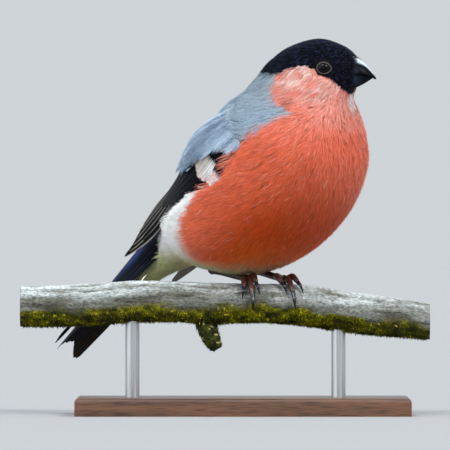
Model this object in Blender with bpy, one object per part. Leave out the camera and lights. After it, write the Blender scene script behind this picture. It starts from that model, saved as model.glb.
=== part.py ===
"""A male bullfinch at life size, perched on a cut length of branch on a display stand.

The bird is fluffed up, faces right and toward the front, and looks to its own left.
Sizes are millimetres in the script and metres in the scene. +X runs along the branch,
+Y goes to the back, +Z is up, and the origin is under the middle of the whole display.
The bird is modelled in its own frame (x forward, y to its left, z up from the floor),
which one empty turns and places over the perch.
"""

import math

import bmesh
import bpy
import numpy as np
from mathutils import Matrix, Vector

MM = 0.001
# Clearance between pieces that touch
GAP = 0.32

# Place and turn of the bird
BIRD_X = 14.2
BIRD_HEADING = -42.0
HEAD_TURN = 30.0
NECK_PIVOT_X = 16.0
TURN_START_Z = 98.0
TURN_END_Z = 113.0

# Body: dorsal point (x, z), ventral point (x, z) and half width at each named station
BODY_STATIONS = (
    ("undertail tip", -69.0, 42.6, -66.0, 37.4, 2.6),
    ("undertail", -60.0, 50.4, -54.4, 41.8, 3.6),
    ("tail root", -51.0, 62.0, -44.6, 46.8, 6.2),
    ("rump", -43.6, 70.6, -33.4, 50.0, 11.2),
    ("vent", -38.8, 75.0, -21.0, 48.0, 18.4),
    ("belly", -33.6, 80.2, -6.0, 47.2, 24.8),
    ("flank", -29.0, 86.0, 11.6, 54.0, 27.8),
    ("breast", -24.2, 92.4, 26.6, 66.2, 28.0),
    ("chest", -18.4, 99.0, 35.2, 80.2, 26.2),
    ("shoulder", -11.6, 104.2, 36.4, 91.2, 23.0),
    ("neck", -4.6, 108.4, 35.2, 99.6, 19.2),
    ("throat", 0.0, 113.0, 33.6, 105.0, 16.2),
    ("ear", 4.4, 118.2, 34.4, 108.8, 13.7),
    ("eye", 11.6, 123.3, 35.4, 111.4, 11.7),
    ("crown", 21.5, 126.0, 35.8, 114.6, 9.2),
    ("forehead", 30.0, 123.6, 35.6, 117.4, 6.2),
    ("bill root", 33.2, 120.6, 35.0, 119.2, 2.6),
)
BODY_RING_POINTS = 30
BODY_STEPS = 2
BODY_ROUNDNESS = 2.12
BELLY_FULLNESS = 0.05

# Length over which the body takes up the tail's swing
SWING_SOFTNESS = 4.0

# Cuts that part the body: dorsal point and ventral point of each plane
NECK_CUT = ((-10.0, 105.4), (36.4, 94.0))
HEAD_CUT = ((1.6, 114.8), (34.0, 106.6))

# Eyes, in the frame of the turned head
EYE_X = 25.0
EYE_Y = 9.3
EYE_Z = 115.9
EYE_RADIUS = 2.7

# Bill, in the frame of the turned head
BILL_BASE_X = 33.0
BILL_LENGTH = 7.9
BILL_TOP_Z = 120.0
BILL_CUT_Z = 113.9
BILL_BOTTOM_Z = 109.2
BILL_TIP_Z = 113.2
BILL_HALF_WIDTH = 4.3
BILL_TIP_HALF_WIDTH = 0.25
BILL_TIP_HOOK = 0.8
BILL_CULMEN_POWER = 1.75
BILL_LOWER_SHARE = 0.86
BILL_LOWER_WIDTH = 0.94
BILL_RINGS = 8
BILL_ARC_POINTS = 9

# Wing: upper edge, lower edge, bulge of the outer face and thickness, wrist to tip
WING_STATIONS = (
    ("wrist", (0.0, -17.5, 102.5), (10.0, -24.2, 91.0), 3.6, 2.6),
    ("coverts", (-20.0, -10.5, 95.2), (0.0, -27.2, 79.5), 6.4, 3.2),
    ("tertials", (-35.6, -4.6, 80.4), (-19.5, -24.2, 72.2), 5.2, 2.8),
    ("primaries", (-47.4, -3.4, 69.8), (-36.6, -15.2, 61.8), 2.6, 1.5),
    ("tip", (-55.0, -10.0, 54.6), (-55.6, -11.4, 53.2), 0.3, 0.9),
)
WING_STEPS = 3
WING_ARC_POINTS = 8
WING_CUT_REACH = 12.0
# Fall and outward lean of the far wing for each millimetre behind the shoulder
LEFT_WING_DROOP = 0.165
LEFT_WING_SPREAD = 0.04

# Tail, from its root down to its forked tip
TAIL_ROOT = (-42.0, 71.0)
TAIL_SLOPE = 47.0
TAIL_SWING = 12.0
TAIL_LENGTH = 66.0
TAIL_ROOT_HALF_WIDTH = 5.6
TAIL_TIP_HALF_WIDTH = 5.6
TAIL_ARCH = 8.6
TAIL_TIP_ARCH = 3.6
TAIL_ARCH_POWER = 1.6
TAIL_ROOT_THICKNESS = 2.0
TAIL_TIP_THICKNESS = 1.0
TAIL_NOTCH = 4.5
TAIL_OUTER_STEP = 3.0
# Where the longest feathers lie, as a share of the half width
TAIL_LONGEST = 0.6
TAIL_ROLL = 10.0
TAIL_ROWS = 9
TAIL_COLUMNS = 12
# The coverts are cleared this many half widths to each side, wider above, and this far up
TAIL_CLEAR_WIDTH = 1.5
TAIL_CLEAR_REACH = 3.2
TAIL_CLEAR_HEIGHT = 24.0

# Branch: place along X, height of its axis and radius
PERCH_STATIONS = (
    (-68.6, 36.4, 7.0),
    (-52.0, 36.6, 6.9),
    (-28.0, 38.0, 7.0),
    (-2.0, 37.7, 6.6),
    (16.0, 37.5, 6.7),
    (28.0, 36.7, 7.0),
    (42.0, 34.5, 6.9),
    (68.6, 31.4, 6.4),
)
PERCH_SIDES = 20
PERCH_STEPS = 2
STUB_ROOT = (-6.6, 0.6, 34.5)
STUB_TIP = (-2.6, -1.6, 22.2)
STUB_RADII = (3.7, 3.2, 2.4)

# Legs and feet: place of each foot along the branch, heel behind it, toes around it
TOE_RADIUS = 1.05
TARSUS_RADIUS = 1.15
HEEL_RADIUS = 1.5
SHIN_RADIUS = 1.9
FOOT_BACK_ANGLE = -20.0
RIGHT_FOOT_X = 7.4
LEFT_FOOT_X = 19.8
# Each toe: drift along X at its middle and end, end angle, claw angle, claw drift, knuckle lift
RIGHT_TOES = (
    (-0.9, -1.2, 50.0, 78.0, -1.6, 0.3),
    (1.0, 1.8, 72.0, 112.0, 2.0, 0.3),
    (2.2, 3.0, 34.0, 66.0, 4.2, 1.1),
    (-0.8, -1.4, -92.0, -128.0, -1.4, 0.2),
)
LEFT_TOES = (
    (-2.6, -0.8, 34.0, 62.0, 1.0, 1.1),
    (1.6, 3.0, 62.0, 104.0, 3.8, 0.3),
    (2.8, 4.6, 28.0, 58.0, 6.4, 1.0),
    (-0.6, -1.2, -92.0, -128.0, -1.2, 0.2),
)
ANKLE_RISE = 1.0
ANKLE_BACK = 2.6
HEEL_BACK = 12.2
HEEL_RISE = 2.6
HEEL_SPREAD = 1.0
SHIN_FORWARD = 6.0
SHIN_RISE = 8.0

# Stand
BASE_X = (-50.0, 62.0)
BASE_Y = (-37.0, 37.0)
BASE_THICKNESS = 6.0
BASE_CORNER = 9.0
BASE_CORNER_STEPS = 5
BASE_EDGE = 1.2
ROD_RADIUS = 2.4
ROD_PLACES = (-31.0, 38.0)
ROD_SOCKET = 3.0
ROD_SIDES = 24


def clear_scene():
    for thing in list(bpy.data.objects):
        bpy.data.objects.remove(thing, do_unlink=True)


def finish_material(name, colour, roughness, metallic=0.0):
    material = bpy.data.materials.new(name)
    material.use_nodes = True
    shader = material.node_tree.nodes["Principled BSDF"]
    shader.inputs["Base Color"].default_value = (*colour, 1.0)
    shader.inputs["Roughness"].default_value = roughness
    shader.inputs["Metallic"].default_value = metallic
    material.diffuse_color = (*colour, 1.0)
    return material


def mesh_object(name, points, faces, material, parent=None):
    """A mesh object from points in millimetres, its faces turned outward."""
    mesh = bpy.data.meshes.new(name)
    mesh.from_pydata([tuple(c * MM for c in point) for point in points], [], faces)
    shell = bmesh.new()
    shell.from_mesh(mesh)
    bmesh.ops.remove_doubles(shell, verts=shell.verts, dist=0.002 * MM)
    bmesh.ops.recalc_face_normals(shell, faces=shell.faces)
    shell.to_mesh(mesh)
    shell.free()
    mesh.shade_smooth()
    mesh.set_sharp_from_angle(angle=math.radians(40.0))
    piece = bpy.data.objects.new(name, mesh)
    bpy.context.scene.collection.objects.link(piece)
    if material:
        mesh.materials.append(material)
    piece.parent = parent
    return piece


def smoothstep(value, low, high):
    share = min(max((value - low) / (high - low), 0.0), 1.0)
    return share * share * (3.0 - 2.0 * share)


def smooth_rows(rows, steps):
    """Rows of numbers joined by a smooth curve, with the given steps between two rows."""
    table = np.array(rows, dtype=float)
    padded = np.vstack([2 * table[0] - table[1], table, 2 * table[-1] - table[-2]])
    result = []
    for index in range(len(table) - 1):
        before, start, end, after = padded[index:index + 4]
        for step in range(steps):
            t = step / steps
            result.append(0.5 * (
                2 * start + (end - before) * t
                + (2 * before - 5 * start + 4 * end - after) * t ** 2
                + (3 * start - before - 3 * end + after) * t ** 3))
    result.append(table[-1])
    return result


def loft(rings):
    """Points and faces of a closed skin through rings of equal length, with flat ends."""
    count = len(rings[0])
    points = [tuple(point) for ring in rings for point in ring]
    faces = []
    for row in range(len(rings) - 1):
        for column in range(count):
            right = (column + 1) % count
            low = row * count
            high = low + count
            faces.append((low + column, low + right, high + right, high + column))
    faces.append(tuple(reversed(range(count))))
    last = (len(rings) - 1) * count
    faces.append(tuple(range(last, last + count)))
    return points, faces


def tube(path, radii, sides):
    """Points and faces of a round tube along a path, with a radius at each point."""
    path = [Vector(point) for point in path]
    side = None
    rings = []
    for index, centre in enumerate(path):
        ahead = path[min(index + 1, len(path) - 1)]
        behind = path[max(index - 1, 0)]
        forward = (ahead - behind).normalized()
        if side is None:
            side = forward.orthogonal().normalized()
        side = (side - forward * side.dot(forward)).normalized()
        across = forward.cross(side)
        ring = []
        for step in range(sides):
            angle = 2 * math.pi * step / sides
            ring.append(centre + (side * math.cos(angle) + across * math.sin(angle)) * radii[index])
        rings.append(ring)
    return loft(rings)


def boolean(piece, other, operation):
    """Cuts or joins another solid into a piece, and keeps the result as its mesh."""
    modifier = piece.modifiers.new(operation.title(), "BOOLEAN")
    modifier.operation = operation
    modifier.solver = "EXACT"
    modifier.object = other
    bpy.context.view_layer.update()
    seen = piece.evaluated_get(bpy.context.evaluated_depsgraph_get())
    result = bpy.data.meshes.new_from_object(seen)
    piece.modifiers.clear()
    piece.data = result


def drop_cutter(cutter):
    bpy.data.objects.remove(cutter, do_unlink=True)


def head_turn_at(height):
    """Share of the head's turn that the plumage has at a height."""
    return math.radians(HEAD_TURN) * smoothstep(height, TURN_START_Z, TURN_END_Z)


def turn_with_neck(point):
    angle = head_turn_at(point[2])
    ahead = point[0] - NECK_PIVOT_X
    return (
        NECK_PIVOT_X + ahead * math.cos(angle) - point[1] * math.sin(angle),
        ahead * math.sin(angle) + point[1] * math.cos(angle),
        point[2])


def swing_with_tail(point):
    """The undertail coverts follow the tail to the bird's right."""
    behind = max(-point[0] + TAIL_ROOT[0] + SWING_SOFTNESS, 0.0)
    bend = behind * behind / (behind + 2 * SWING_SOFTNESS)
    return (point[0], point[1] - bend * math.tan(math.radians(TAIL_SWING)), point[2])


def body_rings():
    rings = []
    rows = [row[1:] for row in BODY_STATIONS]
    for back_x, back_z, front_x, front_z, half_width in smooth_rows(rows, BODY_STEPS):
        centre_x = (back_x + front_x) / 2
        centre_z = (back_z + front_z) / 2
        ring = []
        for step in range(BODY_RING_POINTS):
            angle = 2 * math.pi * step / BODY_RING_POINTS
            up = math.copysign(abs(math.cos(angle)) ** (2 / BODY_ROUNDNESS), math.cos(angle))
            side = math.copysign(abs(math.sin(angle)) ** (2 / BODY_ROUNDNESS), math.sin(angle))
            fuller = 1.0 - BELLY_FULLNESS * up
            point = (
                centre_x + up * (back_x - front_x) / 2,
                side * half_width * fuller,
                centre_z + up * (back_z - front_z) / 2)
            ring.append(swing_with_tail(turn_with_neck(point)))
        rings.append(ring)
    return rings


def keep_side(piece, cut, side):
    """Cuts a piece by a plane across the body and keeps its head side (1) or tail side (-1)."""
    back = Vector((cut[0][0], 0, cut[0][1])) * MM
    front = Vector((cut[1][0], 0, cut[1][1])) * MM
    normal = (front - back).cross(Vector((0, 1, 0))).normalized()
    if normal.z < 0:
        normal = -normal
    shell = bmesh.new()
    shell.from_mesh(piece.data)
    cut_parts = bmesh.ops.bisect_plane(
        shell, geom=shell.verts[:] + shell.edges[:] + shell.faces[:], dist=1e-7,
        plane_co=back + normal * side * GAP * MM / 2, plane_no=normal,
        clear_inner=side > 0, clear_outer=side < 0)
    rim = [item for item in cut_parts["geom_cut"] if isinstance(item, bmesh.types.BMEdge)]
    bmesh.ops.contextual_create(shell, geom=rim)
    bmesh.ops.recalc_face_normals(shell, faces=shell.faces)
    shell.to_mesh(piece.data)
    shell.free()


def ball(name, centre, radius, segments, material, parent):
    mesh = bpy.data.meshes.new(name)
    shell = bmesh.new()
    bmesh.ops.create_uvsphere(
        shell, u_segments=segments, v_segments=segments // 2, radius=radius * MM,
        matrix=Matrix.Translation(Vector(centre) * MM) @ Matrix.Rotation(math.pi / 2, 4, "X"))
    shell.to_mesh(mesh)
    shell.free()
    mesh.shade_smooth()
    piece = bpy.data.objects.new(name, mesh)
    bpy.context.scene.collection.objects.link(piece)
    if material:
        mesh.materials.append(material)
    piece.parent = parent
    return piece


def bill_profile(share):
    """Heights of the culmen, cutting edge and keel, and the half width, base to tip."""
    fall = BILL_TIP_Z - BILL_TIP_HOOK / 2 - BILL_TOP_Z
    culmen = BILL_TOP_Z + fall * share ** BILL_CULMEN_POWER - share * (1 - share)
    cutting = BILL_CUT_Z + (BILL_TIP_Z - BILL_TIP_HOOK - BILL_CUT_Z) * share ** 5
    keel = BILL_BOTTOM_Z + (BILL_CUT_Z - BILL_TIP_HOOK - BILL_BOTTOM_Z) * share ** 1.5
    half_width = max(BILL_HALF_WIDTH * (1 - share ** 1.7) ** 0.72, BILL_TIP_HALF_WIDTH)
    return culmen, cutting, keel, half_width


def bill_upper_rings():
    rings = []
    for step in range(BILL_RINGS + 1):
        share = step / BILL_RINGS
        x = BILL_BASE_X + BILL_LENGTH * share
        culmen, cutting, _, half_width = bill_profile(share)
        height = max(culmen - cutting, 0.4)
        ring = []
        for corner in range(BILL_ARC_POINTS):
            angle = math.pi * corner / (BILL_ARC_POINTS - 1)
            ring.append((x, half_width * math.cos(angle), cutting + height * math.sin(angle)))
        rings.append(ring)
    return rings


def bill_lower_rings():
    rings = []
    for step in range(BILL_RINGS + 1):
        share = step / BILL_RINGS
        x = BILL_BASE_X + BILL_LENGTH * BILL_LOWER_SHARE * share
        _, _, keel, half_width = bill_profile(share)
        cutting = BILL_CUT_Z - GAP - 0.5 * share ** 3
        height = max(cutting - keel, 0.3)
        side = BILL_LOWER_WIDTH * half_width
        ring = []
        for corner in range(BILL_ARC_POINTS):
            angle = math.pi * corner / (BILL_ARC_POINTS - 1)
            ring.append((x, side * math.cos(angle), cutting - height * math.sin(angle)))
        rings.append(ring)
    return rings


def bill_recess_rings():
    """The place in the face that the closed bill takes, with its clearance."""
    rings = []
    for step in range(BILL_RINGS + 1):
        share = step / BILL_RINGS
        x = BILL_BASE_X - GAP + (BILL_LENGTH + GAP) * share
        culmen, _, keel, half_width = bill_profile(share)
        ring = []
        for corner in range(2 * BILL_ARC_POINTS):
            angle = math.pi * corner / BILL_ARC_POINTS
            reach = BILL_CUT_Z - keel + GAP
            if math.sin(angle) > 0:
                reach = culmen - BILL_CUT_Z + GAP
            y = (half_width + GAP) * math.cos(angle)
            ring.append((x, y, BILL_CUT_Z + reach * math.sin(angle)))
        rings.append(ring)
    return rings


def wing_rings(reach=0.0, grow=0.0):
    """Rings of the right wing, or of the cutter that clears its place on the body."""
    rows = [[*upper, *lower, bulge, thick] for _, upper, lower, bulge, thick in WING_STATIONS]
    middle = Vector((-10.0, 0.0, 72.0))
    rings = []
    table = smooth_rows(rows, WING_STEPS)
    for index, row in enumerate(table):
        upper = Vector(row[0:3])
        lower = Vector(row[3:6])
        ahead = table[min(index + 1, len(table) - 1)]
        behind = table[max(index - 1, 0)]
        along = Vector(ahead[0:3]) - Vector(behind[0:3]) + Vector(ahead[3:6]) - Vector(behind[3:6])
        along.normalize()
        across = (lower - upper).normalized()
        outward = across.cross(along).normalized()
        if outward.dot((upper + lower) / 2 - middle) < 0:
            outward = -outward
        end_push = Vector((0.0, 0.0, 0.0))
        if index == 0:
            end_push = -along * grow
        elif index == len(table) - 1:
            end_push = along * grow
        upper = upper - across * grow + end_push
        lower = lower + across * grow + end_push
        ring = []
        for step in range(WING_ARC_POINTS + 1):
            share = step / WING_ARC_POINTS
            crown = 4 * share * (1 - share)
            ring.append(upper.lerp(lower, share) + outward * (row[6] * crown + reach))
        for step in range(WING_ARC_POINTS, -1, -1):
            share = step / WING_ARC_POINTS
            crown = 4 * share * (1 - share)
            depth = row[7] * (0.45 + 0.55 * crown ** 0.5) + grow
            ring.append(upper.lerp(lower, share) + outward * (row[6] * crown - depth))
        rings.append(ring)
    return rings


def mirrored(rings):
    """The left wing's rings: mirrored, drooped about the shoulder and spread a little."""
    shoulder_x = WING_STATIONS[0][1][0]
    result = []
    for ring in rings:
        drooped = []
        for x, y, z in reversed(ring):
            behind = shoulder_x - x
            drooped.append((x, -y + LEFT_WING_SPREAD * behind, z - LEFT_WING_DROOP * behind))
        result.append(drooped)
    return result


def tail_point(along, across, lift):
    """A point of the tail's frame: distance from the root, to the left, and off its face."""
    slope = math.radians(TAIL_SLOPE)
    roll = math.radians(TAIL_ROLL) * smoothstep(along, 10.0, 45.0)
    y = across * math.cos(roll) + lift * math.sin(roll)
    up = -across * math.sin(roll) + lift * math.cos(roll)
    back = along * math.cos(slope) + up * math.sin(slope)
    swing = math.radians(TAIL_SWING)
    return (
        TAIL_ROOT[0] - back * math.cos(swing) - y * math.sin(swing),
        y * math.cos(swing) - back * math.sin(swing),
        TAIL_ROOT[1] - along * math.sin(slope) + up * math.cos(slope))


def tail_half_width(share):
    return TAIL_ROOT_HALF_WIDTH + (TAIL_TIP_HALF_WIDTH - TAIL_ROOT_HALF_WIDTH) * share ** 1.3


def tail_arch(share):
    return TAIL_ARCH + (TAIL_TIP_ARCH - TAIL_ARCH) * share


def tail_thickness(share):
    return TAIL_ROOT_THICKNESS + (TAIL_TIP_THICKNESS - TAIL_ROOT_THICKNESS) * share ** 0.6


def tail_reach(share, side):
    """Distance from the root: the middle feathers and the outermost ones are shorter."""
    notch = TAIL_NOTCH * max(1 - abs(side) / TAIL_LONGEST, 0.0)
    outer = TAIL_OUTER_STEP * max(abs(side) - TAIL_LONGEST, 0.0) / (1 - TAIL_LONGEST)
    return TAIL_LENGTH * share - (notch + outer) * share ** 6


def tail_rings():
    """Rings across the tail: over its arched upper face and back under it."""
    rings = []
    for row in range(TAIL_ROWS + 1):
        share = row / TAIL_ROWS
        half_width = tail_half_width(share)
        thick = tail_thickness(share)
        top = []
        under = []
        for column in range(TAIL_COLUMNS + 1):
            side = 2 * column / TAIL_COLUMNS - 1
            along = tail_reach(share, side)
            drop = -tail_arch(share) * abs(side) ** TAIL_ARCH_POWER
            top.append(tail_point(along, side * half_width, drop))
            under.append(tail_point(along, side * half_width, drop - thick))
        rings.append(top + under[::-1])
    return rings


def tail_cutter_rings():
    """The space over the undertail coverts that the tail and what lies on it take."""
    columns = round(TAIL_COLUMNS * TAIL_CLEAR_WIDTH)
    rings = []
    for row in range(TAIL_ROWS + 1):
        share = row / TAIL_ROWS
        root_gap = GAP if row == 0 else 0.0
        half_width = tail_half_width(share)
        under = []
        for column in range(columns + 1):
            side = (2 * column / columns - 1) * TAIL_CLEAR_WIDTH
            along = tail_reach(share, min(abs(side), 1.0)) - root_gap
            drop = -tail_arch(share) * abs(side) ** TAIL_ARCH_POWER - tail_thickness(share) - GAP
            under.append(tail_point(along, side * half_width, drop))
        reach = TAIL_CLEAR_REACH * half_width
        along = tail_reach(share, 1.0) - root_gap
        over_right = tail_point(along, -reach, TAIL_CLEAR_HEIGHT)
        over_left = tail_point(along, reach, TAIL_CLEAR_HEIGHT)
        rings.append(under + [over_left, over_right])
    return rings


def perch_at(x):
    """Height of the branch's axis and its radius at a place along X."""
    table = smooth_rows(PERCH_STATIONS, 8)
    places = [row[0] for row in table]
    height = np.interp(x, places, [row[1] for row in table])
    radius = np.interp(x, places, [row[2] for row in table])
    return float(height), float(radius)


def around_perch(x, angle, off):
    """A point off the bark, at an angle from the top of the branch toward the front."""
    height, radius = perch_at(x)
    turn = math.radians(angle)
    reach = radius + off
    return Vector((x, -reach * math.sin(turn), height + reach * math.cos(turn)))


def make_perch(material):
    rings = []
    for x, height, radius in smooth_rows(PERCH_STATIONS, PERCH_STEPS):
        ring = []
        for step in range(PERCH_SIDES):
            angle = 2 * math.pi * step / PERCH_SIDES
            ring.append((x, radius * math.cos(angle), height + radius * math.sin(angle)))
        rings.append(ring)
    perch = mesh_object("perch", *loft(rings), material)
    root = Vector(STUB_ROOT)
    tip = Vector(STUB_TIP)
    path = [root.lerp(tip, share) for share in (0.0, 0.25, 0.5, 0.8, 1.0)]
    wide, middle, narrow = STUB_RADII
    stub = mesh_object("stub", *tube(path, (wide, wide, middle, middle, narrow), 12), None)
    boolean(perch, stub, "UNION")
    drop_cutter(stub)
    return perch


def make_foot(name, foot_x, toes, material):
    """Toes and claws that wrap the branch, joined at the pad of the foot."""
    off = GAP + TOE_RADIUS
    pad_point = around_perch(foot_x, FOOT_BACK_ANGLE, off + 0.35)
    path = [pad_point + Vector((-1.1, 0.9, 0.5)), pad_point, pad_point + Vector((0.9, -1.1, 0.1))]
    foot = mesh_object(name, *tube(path, (1.1, 1.55, 1.2), 10), material)
    for middle_drift, end_drift, end_angle, claw_angle, claw_drift, lift in toes:
        bow = FOOT_BACK_ANGLE + (end_angle - FOOT_BACK_ANGLE) * 0.5
        late = FOOT_BACK_ANGLE + (end_angle - FOOT_BACK_ANGLE) * 0.8
        hook = end_angle + (claw_angle - end_angle) * 0.5
        path = [
            around_perch(foot_x, FOOT_BACK_ANGLE, off),
            around_perch(foot_x + middle_drift * 0.6, (bow + FOOT_BACK_ANGLE) / 2, off + lift * 0.6),
            around_perch(foot_x + middle_drift, bow, off + lift),
            around_perch(foot_x + (middle_drift + end_drift) / 2, late, off + lift * 0.7),
            around_perch(foot_x + end_drift, end_angle, off + 0.2),
            around_perch(foot_x + (end_drift + claw_drift) / 2, hook, off + 0.5),
            around_perch(foot_x + claw_drift, claw_angle, GAP + 0.35)]
        radii = (1.0, TOE_RADIUS, TOE_RADIUS, 1.0, 0.9, 0.62, 0.26)
        toe = mesh_object("toe", *tube(path, radii, 8), None)
        boolean(foot, toe, "UNION")
        drop_cutter(toe)
    return foot


def leg_path(foot_x, outward):
    """Ankle, heel and the hidden end of the shin, in display coordinates."""
    heading = math.radians(BIRD_HEADING)
    forward = Vector((math.cos(heading), math.sin(heading), 0))
    sideways = Vector((-math.sin(heading), math.cos(heading), 0)) * outward
    ankle = around_perch(foot_x, FOOT_BACK_ANGLE, GAP + TOE_RADIUS + ANKLE_RISE) - forward * ANKLE_BACK
    heel = ankle - forward * HEEL_BACK + sideways * HEEL_SPREAD + Vector((0, 0, HEEL_RISE))
    knee = heel + forward * SHIN_FORWARD + sideways * HEEL_SPREAD + Vector((0, 0, SHIN_RISE))
    return [ankle, ankle.lerp(heel, 0.33), ankle.lerp(heel, 0.66), heel, heel.lerp(knee, 0.5), knee]


def make_stand(wood, metal):
    """The base board with its two rods, each let into the board and into the branch."""
    width = BASE_X[1] - BASE_X[0]
    depth = BASE_Y[1] - BASE_Y[0]
    centre = ((BASE_X[0] + BASE_X[1]) / 2, (BASE_Y[0] + BASE_Y[1]) / 2)
    outline = []
    for corner, (sign_x, sign_y) in enumerate(((1, 1), (-1, 1), (-1, -1), (1, -1))):
        for step in range(BASE_CORNER_STEPS + 1):
            angle = math.pi / 2 * (corner + step / BASE_CORNER_STEPS)
            outline.append((
                centre[0] + sign_x * (width / 2 - BASE_CORNER) + BASE_CORNER * math.cos(angle),
                centre[1] + sign_y * (depth / 2 - BASE_CORNER) + BASE_CORNER * math.sin(angle)))
    shrink_x = 1 - 2 * BASE_EDGE / width
    shrink_y = 1 - 2 * BASE_EDGE / depth
    top_outline = []
    for x, y in outline:
        top_outline.append((centre[0] + (x - centre[0]) * shrink_x, centre[1] + (y - centre[1]) * shrink_y))
    rings = [
        [(x, y, 0.0) for x, y in outline],
        [(x, y, BASE_THICKNESS - BASE_EDGE) for x, y in outline],
        [(x, y, BASE_THICKNESS) for x, y in top_outline]]
    base = mesh_object("stand_base", *loft(rings), wood)
    rods = []
    for name, place in zip(("stand_rod_left", "stand_rod_right"), ROD_PLACES):
        rods.append(upright(name, place, 0.0, metal))
    return base, rods


def upright(name, place, grow, material):
    """A rod from the board up into the branch, or the socket round it when grown."""
    height, radius = perch_at(place)
    foot = BASE_THICKNESS - ROD_SOCKET - grow
    top = height - radius + ROD_SOCKET + grow
    thick = ROD_RADIUS + grow
    path = [(place, 0, foot), (place, 0, top)]
    return mesh_object(name, *tube(path, (thick, thick), ROD_SIDES), material)


def centre_on_floor(root):
    """Moves the display so that its box stands centred over the origin."""
    bpy.context.view_layer.update()
    corners = []
    for piece in bpy.data.objects:
        if piece.type == "MESH":
            corners.extend(piece.matrix_world @ vertex.co for vertex in piece.data.vertices)
    spread_x = [corner.x for corner in corners]
    spread_y = [corner.y for corner in corners]
    floor = min(corner.z for corner in corners)
    middle_x = (min(spread_x) + max(spread_x)) / 2
    middle_y = (min(spread_y) + max(spread_y)) / 2
    root.location = (-middle_x, -middle_y, -floor)


def main():
    clear_scene()
    plumage = finish_material("breast_plumage", (0.78, 0.22, 0.12), 0.85)
    grey = finish_material("grey_plumage", (0.30, 0.36, 0.43), 0.85)
    black = finish_material("black_plumage", (0.01, 0.012, 0.02), 0.5)
    horn = finish_material("bill_horn", (0.02, 0.02, 0.025), 0.35)
    glassy = finish_material("eye_gloss", (0.008, 0.006, 0.005), 0.05)
    scaled = finish_material("leg_skin", (0.09, 0.035, 0.03), 0.5)
    bark = finish_material("bark", (0.45, 0.44, 0.38), 0.9)
    board = finish_material("stand_wood", (0.22, 0.12, 0.06), 0.45)
    steel = finish_material("stand_steel", (0.55, 0.56, 0.58), 0.3, 1.0)

    root = bpy.data.objects.new("display", None)
    bird = bpy.data.objects.new("bullfinch", None)
    head_frame = bpy.data.objects.new("head_turn", None)
    for empty in (root, bird, head_frame):
        bpy.context.scene.collection.objects.link(empty)
    bird.parent = root
    bird.location = (BIRD_X * MM, 0, 0)
    bird.rotation_euler = (0, 0, math.radians(BIRD_HEADING))
    head_frame.parent = bird
    head_frame.matrix_local = (
        Matrix.Translation((NECK_PIVOT_X * MM, 0, 0))
        @ Matrix.Rotation(math.radians(HEAD_TURN), 4, "Z")
        @ Matrix.Translation((-NECK_PIVOT_X * MM, 0, 0)))

    # Trunk, neck and head, parted by two thin cuts
    points, faces = loft(body_rings())
    trunk = mesh_object("trunk", points, faces, plumage, bird)
    neck = mesh_object("neck", points, faces, grey, bird)
    head = mesh_object("head", points, faces, black, bird)
    keep_side(trunk, NECK_CUT, -1)
    keep_side(neck, NECK_CUT, 1)
    keep_side(neck, HEAD_CUT, -1)
    keep_side(head, HEAD_CUT, 1)

    # Eyes in their sockets
    for name, side in (("eye_left", 1), ("eye_right", -1)):
        place = (EYE_X, side * EYE_Y, EYE_Z)
        ball(name, place, EYE_RADIUS, 16, glassy, head_frame)
        socket = ball("socket", place, EYE_RADIUS + GAP, 16, None, head_frame)
        boolean(head, socket, "DIFFERENCE")
        drop_cutter(socket)

    # Bill, its two halves let into the face
    mesh_object("bill_upper", *loft(bill_upper_rings()), horn, head_frame)
    mesh_object("bill_lower", *loft(bill_lower_rings()), horn, head_frame)
    face_recess = mesh_object("recess", *loft(bill_recess_rings()), None, head_frame)
    boolean(head, face_recess, "DIFFERENCE")
    drop_cutter(face_recess)

    # Wings, each lying in a shallow place on the body
    wing = wing_rings()
    wing_room = wing_rings(WING_CUT_REACH, GAP)
    both_wings = (("wing_right", wing, wing_room), ("wing_left", mirrored(wing), mirrored(wing_room)))
    for name, rings, clearing in both_wings:
        mesh_object(name, *loft(rings), black, bird)
        clearance = mesh_object("clearance", *loft(clearing), None, bird)
        boolean(trunk, clearance, "DIFFERENCE")
        drop_cutter(clearance)

    # Tail over the undertail coverts
    mesh_object("tail", *loft(tail_rings()), black, bird)
    clearance = mesh_object("clearance", *loft(tail_cutter_rings()), None, bird)
    boolean(trunk, clearance, "DIFFERENCE")
    drop_cutter(clearance)

    # Perch and stand
    perch = make_perch(bark)
    base, rods = make_stand(board, steel)
    for place in ROD_PLACES:
        socket = upright("socket", place, GAP, None)
        boolean(perch, socket, "DIFFERENCE")
        boolean(base, socket, "DIFFERENCE")
        drop_cutter(socket)

    # Legs and feet
    feet = []
    legs = []
    both_feet = (("right", RIGHT_FOOT_X, RIGHT_TOES, -1), ("left", LEFT_FOOT_X, LEFT_TOES, 1))
    for side, foot_x, toes, outward in both_feet:
        foot = make_foot("foot_" + side, foot_x, toes, scaled)
        path = leg_path(foot_x, outward)
        radii = (TARSUS_RADIUS, TARSUS_RADIUS, TARSUS_RADIUS, HEEL_RADIUS, HEEL_RADIUS, SHIN_RADIUS)
        leg = mesh_object("leg_" + side, *tube(path, radii, 10), scaled)
        wide = [radius + GAP for radius in radii]
        low_end = path[0] - (path[1] - path[0]) * 0.1
        high_end = path[-1] + (path[-1] - path[-2]).normalized() * GAP
        over = [low_end, *path[1:-1], high_end]
        channel = mesh_object("channel", *tube(over, wide, 10), None)
        channel.matrix_world = root.matrix_world
        boolean(trunk, channel, "DIFFERENCE")
        drop_cutter(channel)
        feet.append(foot)
        legs.append(leg)

    for piece in (perch, base, *rods, *feet, *legs):
        piece.parent = root
    centre_on_floor(root)


main()
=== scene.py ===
import math

import bmesh
import bpy
import numpy as np
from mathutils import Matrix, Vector
from mathutils.kdtree import KDTree


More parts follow.
